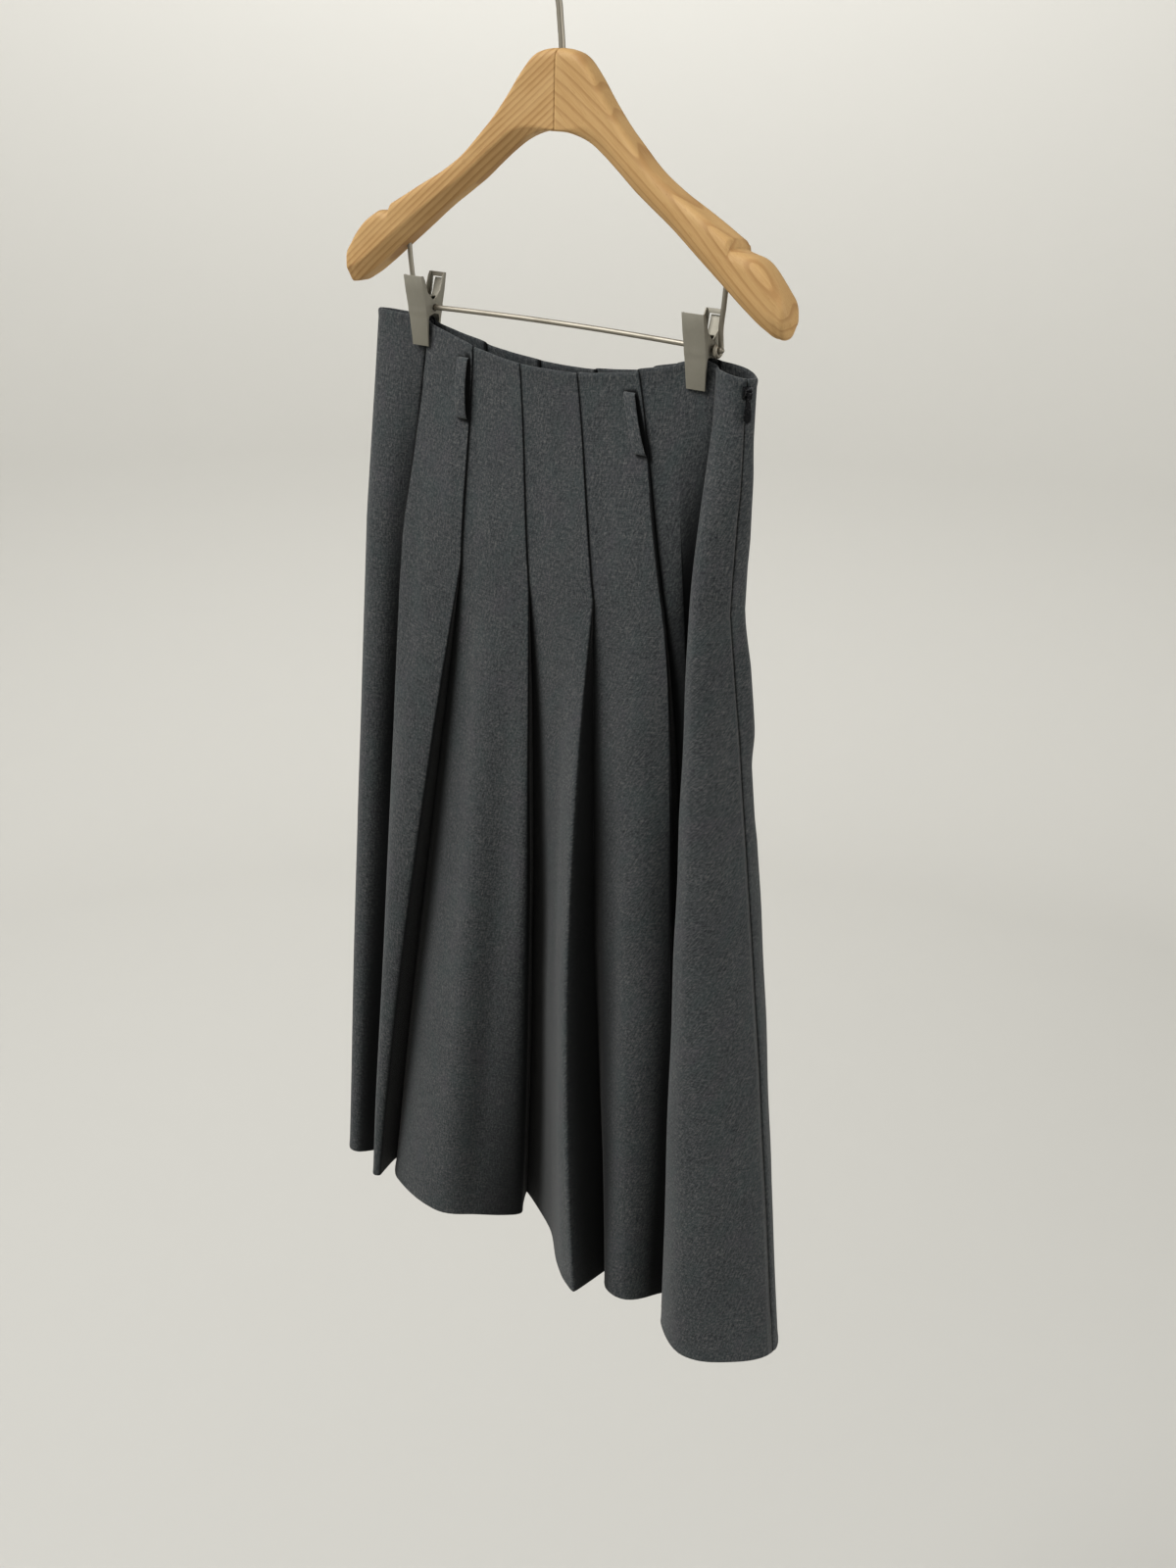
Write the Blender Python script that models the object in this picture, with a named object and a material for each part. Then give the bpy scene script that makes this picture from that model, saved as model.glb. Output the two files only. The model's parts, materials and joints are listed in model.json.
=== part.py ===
"""Pleated midi skirt hung by two clips on a wooden hanger.

Every piece is one closed solid. The skirt is a ring in plan at each height, worked out from the
fold tables below, and the ring is split at the two side seams into a front and a back wall.
Units are metres, +Z is up, +X is the viewer's right and the front faces -Y. The origin is the
inner top of the hook, where a rail carries the hanger.

Run with: blender --background --python part.py
"""

import math
from collections import namedtuple

import bmesh
import bpy
import numpy as np
from mathutils import Matrix, Vector

# ---------------------------------------------------------------- driving sizes

SEAM_GAP = 0.0003
WALL = 0.0016

SEAT_TO_BAR = 0.275
BAR_TO_HEM = 0.791
BAR_Z = -SEAT_TO_BAR
HEM_Z = BAR_Z - BAR_TO_HEM

HANGER_HALF = 0.140
CLIP_LEFT_X = -0.1235
CLIP_RIGHT_X = 0.1230

WAIST_LEFT_X = -0.169
WAIST_RIGHT_X = 0.165
EDGE_BELOW_BAR = 0.0065
FRONT_SAG = 0.0220
BACK_SAG = 0.0225
LEFT_RISE = 0.0015
RIGHT_DROOP = 0.0080
FRONT_DROOP_POWER = 0.8
BACK_DROOP_POWER = 2.2

HIP_LEVEL = 0.213
ROW_LEVELS = (0, 0.04, 0.085, 0.13, 0.175, HIP_LEVEL, 0.25, 0.30, 0.36, 0.43,
              0.51, 0.59, 0.67, 0.75, 0.83, 0.89, 0.945, 1)

BAR_RADIUS = 0.0019
BAR_BOW = 0.0025
WIRE_RADIUS = 0.0018
HOOK_RADIUS = 0.0023
HOOK_BEND = 0.0240
EAR_HOLE_RADIUS = 0.0026

NOTCH_X = 0.159
NOTCH_RADIUS = 0.0045
NOTCH_DEPTH = 0.0033

BELT_LOOP_WIDTH = 0.0088
BELT_LOOP_CLOTH = 0.0013
BELT_LOOP_STAND = 0.0036

ZIP_LENGTH = 0.170
ZIP_TAPE_HALF = 0.009
ZIP_TAPE_CLOTH = 0.0008
ZIP_TAPE_GAP = 0.0007
SLIDER_SIZE = (0.0062, 0.0024, 0.0085)
SLIDER_DROP = 0.0090
PULL_PIN_RADIUS = 0.0005
PULL_BORE_RADIUS = 0.0008
PULL_BARREL_RADIUS = 0.0013
PULL_BARREL_LENGTH = 0.0026
PULL_LENGTH = 0.0200
PULL_WIDTH = 0.0052
PULL_SHEET = 0.0012

# ---------------------------------------------------------------- fold tables

# Each row is one line that runs down the cloth, and its place in plan at four heights. A crease
# is turned tightly, and a bend is round. The front goes from left to right, the back from right
# to left, and the side seams belong to both.
Fold = namedtuple("Fold", "name edge waist_x waist_y hip_x hip_y knee_x knee_y hem_x hem_y")

FRONT_FOLDS = tuple(Fold(*row) for row in (
    ("side_left", "bend", -0.1690, 0.0000, -0.186, 0.000, -0.205, 0.000, -0.221, -0.006),
    ("left_round", "bend", -0.1630, -0.0030, -0.180, -0.010, -0.200, -0.013, -0.215, -0.019),
    ("left_panel", "bend", -0.1400, -0.0035, -0.160, -0.015, -0.184, -0.014, -0.204, -0.018),
    ("valley_1", "crease", -0.1185, -0.0020, -0.1385, -0.0145, -0.159, 0.004, -0.184, 0.005),
    ("crest_1", "crease", -0.1170, -0.0034, -0.1370, -0.0180, -0.154, -0.025, -0.172, -0.033),
    ("panel_12", "bend", -0.0940, -0.0055, -0.106, -0.020, -0.141, -0.032, -0.1685, -0.0365),
    ("crest_2", "crease", -0.0715, -0.0088, -0.0755, -0.0195, -0.127, -0.028, -0.1645, -0.034),
    ("valley_2", "crease", -0.0700, -0.0066, -0.0740, -0.0160, -0.131, -0.004, -0.170, -0.004),
    ("left_23", "bend", -0.0600, -0.0085, -0.066, -0.018, -0.116, -0.012, -0.149, -0.027),
    ("panel_23", "bend", -0.0480, -0.0098, -0.043, -0.0205, -0.065, -0.029, -0.092, -0.041),
    ("right_23", "bend", -0.0360, -0.0108, -0.024, -0.0205, -0.035, -0.024, -0.055, -0.026),
    ("crest_3", "crease", -0.0255, -0.0118, -0.0090, -0.0200, -0.012, -0.014, -0.028, 0.002),
    ("valley_3", "crease", -0.0240, -0.0096, -0.0075, -0.0165, -0.023, 0.010, -0.041, 0.030),
    ("panel_34", "bend", 0.0000, -0.0112, 0.022, -0.0205, 0.010, -0.010, 0.008, 0.001),
    ("right_34", "bend", 0.0140, -0.0114, 0.038, -0.0210, 0.034, -0.029, 0.046, -0.037),
    ("crest_4", "crease", 0.0260, -0.0120, 0.0515, -0.0210, 0.050, -0.040, 0.075, -0.055),
    ("valley_4", "crease", 0.0275, -0.0098, 0.0530, -0.0175, 0.055, -0.009, 0.081, -0.010),
    ("left_45", "bend", 0.0360, -0.0106, 0.061, -0.0190, 0.071, -0.018, 0.094, -0.034),
    ("panel_45", "bend", 0.0560, -0.0098, 0.087, -0.0205, 0.100, -0.027, 0.116, -0.036),
    ("crest_5", "crease", 0.0765, -0.0088, 0.1135, -0.0195, 0.135, -0.014, 0.137, -0.012),
    ("valley_5", "crease", 0.0780, -0.0066, 0.1150, -0.0160, 0.131, 0.006, 0.141, 0.004),
    ("panel_56", "crease", 0.1050, -0.0042, 0.126, -0.0140, 0.142, -0.010, 0.1465, -0.026),
    ("valley_6", "crease", 0.1340, -0.0024, 0.134, -0.0070, 0.149, 0.003, 0.155, -0.003),
    ("crest_6", "crease", 0.1405, -0.0060, 0.138, -0.0240, 0.146, -0.033, 0.156, -0.041),
    ("right_front", "bend", 0.1480, -0.0090, 0.147, -0.0290, 0.164, -0.043, 0.187, -0.063),
    ("right_panel", "bend", 0.1560, -0.0095, 0.156, -0.0230, 0.183, -0.033, 0.218, -0.053),
    ("side_right", "bend", 0.1630, -0.0065, 0.1625, -0.0090, 0.198, 0.002, 0.247, -0.016),
))

BACK_FOLDS = tuple(Fold(*row) for row in (
    ("right_turn", "bend", 0.1655, 0.0015, 0.1650, 0.0040, 0.195, 0.019, 0.232, 0.014),
    ("right_back", "bend", 0.1540, 0.0085, 0.156, 0.0150, 0.184, 0.030, 0.209, 0.034),
    ("crest_f", "crease", 0.1355, 0.0036, 0.134, 0.0195, 0.150, 0.041, 0.174, 0.054),
    ("valley_f", "crease", 0.1340, 0.0020, 0.1325, 0.0160, 0.156, 0.023, 0.183, 0.027),
    ("panel_ef", "bend", 0.1060, 0.0046, 0.106, 0.0205, 0.127, 0.040, 0.147, 0.052),
    ("crest_e", "crease", 0.0775, 0.0090, 0.0815, 0.0210, 0.091, 0.043, 0.104, 0.062),
    ("valley_e", "crease", 0.0760, 0.0068, 0.0800, 0.0175, 0.099, 0.024, 0.116, 0.031),
    ("panel_de", "bend", 0.0510, 0.0100, 0.054, 0.0220, 0.061, 0.045, 0.071, 0.065),
    ("crest_d", "crease", 0.0265, 0.0120, 0.0275, 0.0220, 0.023, 0.049, 0.029, 0.075),
    ("valley_d", "crease", 0.0250, 0.0098, 0.0260, 0.0185, 0.033, 0.025, 0.044, 0.034),
    ("panel_cd", "bend", 0.0000, 0.0115, 0.000, 0.0225, -0.004, 0.049, 0.004, 0.078),
    ("crest_c", "crease", -0.0245, 0.0120, -0.0250, 0.0220, -0.042, 0.049, -0.045, 0.076),
    ("valley_c", "crease", -0.0260, 0.0098, -0.0265, 0.0185, -0.032, 0.030, -0.030, 0.046),
    ("panel_bc", "bend", -0.0500, 0.0100, -0.054, 0.0220, -0.068, 0.044, -0.080, 0.066),
    ("crest_b", "crease", -0.0725, 0.0088, -0.0785, 0.0210, -0.102, 0.043, -0.121, 0.062),
    ("valley_b", "crease", -0.0740, 0.0066, -0.0800, 0.0175, -0.092, 0.022, -0.105, 0.026),
    ("panel_ab", "bend", -0.0960, 0.0055, -0.106, 0.0210, -0.130, 0.036, -0.146, 0.047),
    ("crest_a", "crease", -0.1180, 0.0034, -0.1330, 0.0180, -0.166, 0.036, -0.188, 0.048),
    ("valley_a", "crease", -0.1195, 0.0020, -0.1345, 0.0145, -0.160, 0.020, -0.180, 0.025),
    ("left_back", "bend", -0.1560, 0.0040, -0.171, 0.0115, -0.192, 0.019, -0.207, 0.025),
))

# A bend's curve leaves it at full length, and a crease's is held to this.
CREASE_REACH = 0.0055

# The arm of the hanger at stations from the middle outwards, with heights above the bar.
ArmStation = namedtuple("ArmStation", "x lower upper thick")

ARM_STATIONS = tuple(ArmStation(*row) for row in (
    (0.00015, 0.1315, 0.1842, 0.0160),
    (0.0100, 0.1312, 0.1832, 0.0160),
    (0.0200, 0.1285, 0.1795, 0.0165),
    (0.0300, 0.1235, 0.1690, 0.0172),
    (0.0400, 0.1165, 0.1555, 0.0180),
    (0.0530, 0.1065, 0.1395, 0.0190),
    (0.0660, 0.0962, 0.1260, 0.0205),
    (0.0800, 0.0865, 0.1125, 0.0215),
    (0.0970, 0.0750, 0.1005, 0.0225),
    (0.1200, 0.0575, 0.0875, 0.0245),
    (0.1430, 0.0400, 0.0745, 0.0260),
    (0.1600, 0.0270, 0.0660, 0.0270),
    (0.1750, 0.0165, 0.0560, 0.0265),
    (0.1850, 0.0115, 0.0440, 0.0240),
    (0.1915, 0.0125, 0.0335, 0.0190),
    (0.1945, 0.0175, 0.0260, 0.0100),
))
ARM_SIDES = 16
ARM_SQUARENESS = 3.2

# A clip's plate from its top to its jaw: height above the bar, outer face and flange edge as
# distances from the bar's plane, and the width.
PlateStation = namedtuple("PlateStation", "z face flange width")

PLATE_STATIONS = tuple(PlateStation(*row) for row in (
    (0.0240, 0.0150, 0.0127, 0.0176),
    (0.0205, 0.0145, 0.0108, 0.0176),
    (0.0120, 0.0130, 0.0078, 0.0176),
    (0.0070, 0.0118, 0.0030, 0.0176),
    (0.0042, 0.0112, -0.0012, 0.0176),
    (0.0020, 0.0107, -0.0038, 0.0176),
    (0.0000, 0.0104, -0.0044, 0.0176),
    (-0.0020, 0.0102, -0.0038, 0.0175),
    (-0.0040, 0.0098, -0.0008, 0.0174),
    (-0.0056, 0.0094, 0.0060, 0.0173),
    (-0.0085, 0.0089, 0.0068, 0.0171),
    (-0.0160, 0.0081, 0.0064, 0.0164),
    (-0.0280, 0.0068, 0.0055, 0.0153),
))
PLATE_SHEET = 0.0009
BACK_PLATE_INSET = 0.0030
WINDOW_WIDTH = 0.0096
WINDOW_LOW = 0.0070
WINDOW_HIGH = 0.0208
TONGUE_WIDTH = 0.0080
TONGUE_LEAN = 0.0020

# The leaf spring between the plates, from the back one over the bar to the front one: distance
# behind the bar's plane and height above the bar.
SPRING_PATH = ((0.0094, 0.0032), (0.0083, 0.0066), (0.0030, 0.0080),
               (-0.0030, 0.0080), (-0.0083, 0.0066), (-0.0094, 0.0032))
SPRING_WIDTH = 0.0095
SPRING_SHEET = 0.0007

# ---------------------------------------------------------------- scene, materials, objects


def clear_scene():
    for obj in list(bpy.data.objects):
        bpy.data.objects.remove(obj, do_unlink=True)


def new_collection(name, helper=False):
    collection = bpy.data.collections.new(name)
    bpy.context.scene.collection.children.link(collection)
    collection.hide_render = helper
    return collection


def material(name, colour, roughness, metallic=0.0):
    """A Principled material from an sRGB colour in 0 to 255."""
    made = bpy.data.materials.new(name)
    made.use_nodes = True
    shader = made.node_tree.nodes["Principled BSDF"]
    linear = [(channel / 255) ** 2.2 for channel in colour]
    shader.inputs["Base Color"].default_value = (*linear, 1)
    shader.inputs["Roughness"].default_value = roughness
    shader.inputs["Metallic"].default_value = metallic
    made.diffuse_color = (*linear, 1)
    return made


def mesh_object(name, points, faces, look, collection):
    """A closed mesh object whose faces are turned outwards."""
    mesh = bpy.data.meshes.new(name)
    mesh.from_pydata([tuple(map(float, point)) for point in points], [], faces)
    work = bmesh.new()
    work.from_mesh(mesh)
    bmesh.ops.recalc_face_normals(work, faces=work.faces)
    work.to_mesh(mesh)
    work.free()
    obj = bpy.data.objects.new(name, mesh)
    if look:
        mesh.materials.append(look)
    collection.objects.link(obj)
    return obj


def rod(name, points, radius, look, collection):
    """A round wire along the given points."""
    curve = bpy.data.curves.new(name, "CURVE")
    curve.dimensions = "3D"
    curve.bevel_depth = radius
    curve.bevel_resolution = 2
    curve.use_fill_caps = True
    spline = curve.splines.new("POLY")
    spline.points.add(len(points) - 1)
    for place, point in zip(spline.points, points):
        place.co = (*point, 1)
    curve.materials.append(look)
    obj = bpy.data.objects.new(name, curve)
    collection.objects.link(obj)
    return obj


def cylinder(name, centre, axis, radius, length, collection, look=None, sides=20):
    """A closed cylinder about its centre, along the given axis."""
    mesh = bpy.data.meshes.new(name)
    work = bmesh.new()
    bmesh.ops.create_cone(work, cap_ends=True, segments=sides, radius1=radius, radius2=radius,
                          depth=length)
    turn = Vector((0, 0, 1)).rotation_difference(Vector(axis)).to_matrix().to_4x4()
    bmesh.ops.transform(work, matrix=Matrix.Translation(centre) @ turn, verts=work.verts)
    work.to_mesh(mesh)
    work.free()
    obj = bpy.data.objects.new(name, mesh)
    if look:
        mesh.materials.append(look)
    collection.objects.link(obj)
    return obj


def box(name, centre, size, collection, axes=None, look=None):
    """A closed box about its centre, with its sides along the given unit axes."""
    axes = axes or (Vector((1, 0, 0)), Vector((0, 1, 0)), Vector((0, 0, 1)))
    points = []
    for sx in (-0.5, 0.5):
        for sy in (-0.5, 0.5):
            for sz in (-0.5, 0.5):
                offset = axes[0] * size[0] * sx + axes[1] * size[1] * sy + axes[2] * size[2] * sz
                points.append(Vector(centre) + offset)
    faces = [(0, 1, 3, 2), (4, 6, 7, 5), (0, 4, 5, 1), (2, 3, 7, 6), (0, 2, 6, 4), (1, 5, 7, 3)]
    return mesh_object(name, points, faces, look, collection)


def combine(obj, operation, *others):
    """Booleans that join the others to the object, or cut them from it."""
    for other in others:
        boolean = obj.modifiers.new(f"{operation.title()} {other.name}", "BOOLEAN")
        boolean.operation = operation
        boolean.solver = "EXACT"
        boolean.object = other
        other.hide_render = True
        other.display_type = "WIRE"


# ---------------------------------------------------------------- the ring of cloth


def edge_height(waist_x, facing):
    """Height of the waist's top edge, which hangs between the clips and droops at the right."""
    level = BAR_Z - EDGE_BELOW_BAR
    sag, power = (FRONT_SAG, FRONT_DROOP_POWER) if facing < 0 else (BACK_SAG, BACK_DROOP_POWER)
    if waist_x < CLIP_LEFT_X:
        return level + LEFT_RISE * (CLIP_LEFT_X - waist_x) / (CLIP_LEFT_X - WAIST_LEFT_X)
    if waist_x > CLIP_RIGHT_X:
        past = min((waist_x - CLIP_RIGHT_X) / (FRONT_FOLDS[-1].waist_x - CLIP_RIGHT_X), 1)
        return level - RIGHT_DROOP * past ** power
    across = (2 * waist_x - CLIP_LEFT_X - CLIP_RIGHT_X) / (CLIP_RIGHT_X - CLIP_LEFT_X)
    return level - sag * (1 - across * across)


def fold_in_plan(fold, level):
    """Where a fold is in plan at a level from 0 at the waist to 1 at the hem."""
    waist = np.array((fold.waist_x, fold.waist_y))
    hip = np.array((fold.hip_x, fold.hip_y))
    knee = np.array((fold.knee_x, fold.knee_y))
    hem = np.array((fold.hem_x, fold.hem_y))
    if level <= HIP_LEVEL:
        part = level / HIP_LEVEL
        ease = part * part * (3 - 2 * part)
        return waist + (hip - waist) * np.array((part, ease))
    part = (level - HIP_LEVEL) / (1 - HIP_LEVEL)
    hip_share = (1 - part) * (1 - 2 * part)
    knee_share = 4 * part * (1 - part)
    hem_share = part * (2 * part - 1)
    return hip * hip_share + knee * knee_share + hem * hem_share


def steps_between(first, second):
    """Parts of the way between two folds where the ring has a point."""
    if "crease" in (first.edge, second.edge):
        return (0, 0.14, 0.5, 0.86)
    return (0, 0.5)


def ring(level):
    """The cloth's middle line at a level, as points, outward normals and waist places."""
    folds = FRONT_FOLDS + BACK_FOLDS
    count = len(folds)
    places = [fold_in_plan(fold, level) for fold in folds]
    tangents = []
    for index in range(count):
        span = places[(index + 1) % count] - places[index - 1]
        tangents.append(span / np.linalg.norm(span))
    points, normals, waists = [], [], []
    for index, fold in enumerate(folds):
        after = (index + 1) % count
        start, end = places[index], places[after]
        length = np.linalg.norm(end - start)
        leave = min(length, CREASE_REACH) if fold.edge == "crease" else length
        reach = min(length, CREASE_REACH) if folds[after].edge == "crease" else length
        out, back = tangents[index] * leave, tangents[after] * reach
        for u in steps_between(fold, folds[after]):
            point = (start * (2 * u**3 - 3 * u**2 + 1) + out * (u**3 - 2 * u**2 + u)
                     + end * (3 * u**2 - 2 * u**3) + back * (u**3 - u**2))
            slope = (start * (6 * u**2 - 6 * u) + out * (3 * u**2 - 4 * u + 1)
                     + end * (6 * u - 6 * u**2) + back * (3 * u**2 - 2 * u))
            slope = slope / np.linalg.norm(slope)
            points.append(point)
            normals.append((slope[1], -slope[0]))
            waists.append(fold.waist_x + (folds[after].waist_x - fold.waist_x) * u)
    return np.array(points), np.array(normals), np.array(waists)


def column_of(name):
    """The ring's point that a fold starts at."""
    folds = FRONT_FOLDS + BACK_FOLDS
    column = 0
    for index, fold in enumerate(folds):
        if fold.name == name:
            return column
        column += len(steps_between(fold, folds[(index + 1) % len(folds)]))
    raise KeyError(name)


def cloth_wall(name, columns, facing, look, collection):
    """A wall of cloth through these columns of the ring, from the waist to the hem."""
    rows = []
    for level in ROW_LEVELS:
        points, normals, waists = ring(level)
        outer, inner = [], []
        for place, column in enumerate(columns):
            middle, normal = points[column], normals[column]
            along = np.array((-normal[1], normal[0]))
            if place == 0:
                middle = middle + along * SEAM_GAP / 2
            if place == len(columns) - 1:
                middle = middle - along * SEAM_GAP / 2
            top = edge_height(waists[column], facing)
            height = top + (HEM_Z - top) * level
            outer.append((*(middle + normal * WALL / 2), height))
            inner.append((*(middle - normal * WALL / 2), height))
        rows.append((outer, inner))
    width = len(columns)
    points = [point for outer, inner in rows for point in outer + inner]

    def at(row, side, column):
        return row * 2 * width + side * width + column

    faces = []
    last = len(rows) - 1
    for row in range(last):
        for column in range(width - 1):
            for side in (0, 1):
                faces.append((at(row, side, column), at(row, side, column + 1),
                              at(row + 1, side, column + 1), at(row + 1, side, column)))
        for column in (0, width - 1):
            faces.append((at(row, 0, column), at(row + 1, 0, column),
                          at(row + 1, 1, column), at(row, 1, column)))
    for row in (0, last):
        for column in range(width - 1):
            faces.append((at(row, 0, column), at(row, 0, column + 1),
                          at(row, 1, column + 1), at(row, 1, column)))
    return mesh_object(name, points, faces, look, collection)


def level_of(height, waist_x, facing):
    """The level of the ring that passes through a height, at a place along the waist."""
    top = edge_height(waist_x, facing)
    return min(max((top - height) / (top - HEM_Z), 0), 1)


def outer_face(x, height, facing, spread):
    """How far the cloth's outer face stands out in Y, over a strip about x at this height."""
    points, normals, _ = ring(level_of(height, x, facing))
    face = points + normals * WALL / 2
    near = (abs(face[:, 0] - x) < spread) & (face[:, 1] * facing > 0)
    return face[near][:, 1].max() if facing > 0 else face[near][:, 1].min()


# ---------------------------------------------------------------- belt loops and zip


def belt_loop(name, facing, top_x, bottom_x, top_z, bottom_z, look, collection):
    """A strip sewn down at its two ends, that stands off the cloth between them."""
    stations = 11
    points = []
    for station in range(stations):
        part = station / (stations - 1)
        x = top_x + (bottom_x - top_x) * part
        height = top_z + (bottom_z - top_z) * part
        lift = SEAM_GAP + BELT_LOOP_STAND * math.sin(math.pi * part) ** 0.6
        base = outer_face(x, height, facing, BELT_LOOP_WIDTH)
        for side, cloth in ((-1, 0), (1, 0), (1, BELT_LOOP_CLOTH), (-1, BELT_LOOP_CLOTH)):
            out = base + facing * (lift + cloth)
            points.append((x + side * BELT_LOOP_WIDTH / 2, out, height))
    faces = [(3, 2, 1, 0), tuple(4 * (stations - 1) + corner for corner in range(4))]
    for station in range(stations - 1):
        for corner in range(4):
            here, there = 4 * station + corner, 4 * station + (corner + 1) % 4
            faces.append((here, there, there + 4, here + 4))
    return mesh_object(name, points, faces, look, collection)


def zip_frame(height):
    """The side seam's outer face at a height, with its outward, along and up directions."""
    level = level_of(height, WAIST_RIGHT_X, -1)
    points, normals, _ = ring(level)
    column = column_of("side_right")
    outward = Vector((*normals[column], 0)).normalized()
    along = Vector((-outward.y, outward.x, 0))
    face = Vector((*(points[column] + normals[column] * WALL / 2), height))
    return face, outward, along


def zip_tape(look, collection):
    """The closed zip's two tapes as one strip, inside the cloth along the side seam."""
    top = edge_height(WAIST_RIGHT_X, -1) - 0.004
    stations = 9
    offsets = (-1, -0.5, 0, 0.5, 1)
    inner, outer = [], []
    column = column_of("side_right")
    for station in range(stations):
        height = top - ZIP_LENGTH * station / (stations - 1)
        points, normals, _ = ring(level_of(height, WAIST_RIGHT_X, -1))
        runs = np.linalg.norm(np.diff(points, axis=0), axis=1)
        along = np.concatenate(([0], np.cumsum(runs)))
        for offset in offsets:
            where = along[column] + offset * ZIP_TAPE_HALF
            middle = np.array([np.interp(where, along, points[:, axis]) for axis in (0, 1)])
            normal = np.array([np.interp(where, along, normals[:, axis]) for axis in (0, 1)])
            normal = normal / np.linalg.norm(normal)
            near = middle - normal * (WALL / 2 + ZIP_TAPE_GAP)
            outer.append((*near, height))
            inner.append((*(near - normal * ZIP_TAPE_CLOTH), height))
    return sheet_solid("zip_tape", outer, inner, stations, len(offsets), look, collection)


def sheet_solid(name, outer, inner, rows, columns, look, collection):
    """A closed sheet from two grids of points, listed row by row."""
    shift = len(outer)
    faces = []
    for row in range(rows - 1):
        for column in range(columns - 1):
            corners = [row * columns + column, row * columns + column + 1,
                       (row + 1) * columns + column + 1, (row + 1) * columns + column]
            faces.append(tuple(corners))
            faces.append(tuple(corner + shift for corner in corners))
    rim = [column for column in range(columns)]
    rim += [row * columns + columns - 1 for row in range(1, rows)]
    rim += [(rows - 1) * columns + column for column in range(columns - 2, -1, -1)]
    rim += [row * columns for row in range(rows - 2, 0, -1)]
    for index, corner in enumerate(rim):
        after = rim[(index + 1) % len(rim)]
        faces.append((corner, after, after + shift, corner + shift))
    return mesh_object(name, outer + inner, faces, look, collection)


def zip_slider_and_pull(slider_look, collection, cutters):
    """The slider at the top of the closed zip, and the pull that hangs on its pin."""
    height = edge_height(WAIST_RIGHT_X, -1) - SLIDER_DROP
    face, outward, along = zip_frame(height)
    up = Vector((0, 0, 1))
    axes = (along, outward, up)
    centre = face + outward * (0.0006 + SLIDER_SIZE[1] / 2)
    slider = box("zip_slider", centre, SLIDER_SIZE, collection, axes, slider_look)
    pin_place = centre + outward * (SLIDER_SIZE[1] / 2 + PULL_BARREL_RADIUS + 0.0004)
    cheek_gap = PULL_BARREL_LENGTH / 2 + 0.0003
    cheek = 0.0008
    for side in (-1, 1):
        where = pin_place + along * side * (cheek_gap + cheek / 2) - outward * 0.0010
        lug = box(f"slider_lug_{side + 1}", where, (cheek, 0.0034, 0.0026), cutters, axes)
        combine(slider, "UNION", lug)
    pin = cylinder("slider_pin", pin_place, along, PULL_PIN_RADIUS, 2 * cheek_gap + cheek, cutters)
    combine(slider, "UNION", pin)

    pull = pull_plate(pin_place, outward, along, slider_look, collection)
    barrel = cylinder("pull_barrel", pin_place, along, PULL_BARREL_RADIUS, PULL_BARREL_LENGTH,
                      cutters)
    bore = cylinder("pull_bore", pin_place, along, PULL_BORE_RADIUS, 0.02, cutters)
    combine(pull, "UNION", barrel)
    combine(pull, "DIFFERENCE", bore)
    return slider, pull


def pull_plate(pin_place, outward, along, look, collection):
    """A drop-shaped plate that hangs from the pin, narrow at its neck."""
    outline = []
    steps = 10
    for step in range(steps + 1):
        part = step / steps
        down = 0.0008 + (PULL_LENGTH - 0.0008) * part
        swell = max(part - 0.12, 0) / 0.88
        half = 0.0010 + (PULL_WIDTH / 2 - 0.0010) * math.sin(math.pi * min(swell * 0.62, 0.5))
        if part > 0.82:
            half *= math.sqrt(max(1 - ((part - 0.82) / 0.18) ** 2, 0.05))
        outline.append((half, down))
    ring_points = outline + [(-half, down) for half, down in reversed(outline)]
    front, back = [], []
    for across, down in ring_points:
        place = along * across - Vector((0, 0, down))
        front.append(place + outward * PULL_SHEET / 2)
        back.append(place - outward * PULL_SHEET / 2)
    count = len(ring_points)
    faces = [(i, (i + 1) % count, (i + 1) % count + count, i + count) for i in range(count)]
    half_count = len(outline)
    for i in range(half_count - 1):
        mirror = count - 1 - i
        faces.append((i, i + 1, mirror - 1, mirror))
        faces.append((i + count, i + 1 + count, mirror - 1 + count, mirror + count))
    pull = mesh_object("zip_pull", front + back, faces, look, collection)
    pull.location = pin_place
    return pull


# ---------------------------------------------------------------- hanger


def bar_height(x):
    """The clip bar is bowed up a little between its two ends."""
    return BAR_Z + BAR_BOW * (1 - (x / HANGER_HALF) ** 2)


def arm_section(station, side):
    """A rounded oblong of points in the plane across the arm."""
    middle = BAR_Z + (station.lower + station.upper) / 2
    tall = (station.upper - station.lower) / 2
    points = []
    for step in range(ARM_SIDES):
        angle = 2 * math.pi * (step + 0.5) / ARM_SIDES
        across, rise = math.cos(angle), math.sin(angle)
        y = math.copysign(abs(across) ** (2 / ARM_SQUARENESS), across) * station.thick / 2
        z = math.copysign(abs(rise) ** (2 / ARM_SQUARENESS), rise) * tall
        points.append((side * station.x, y, middle + z))
    return points


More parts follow.
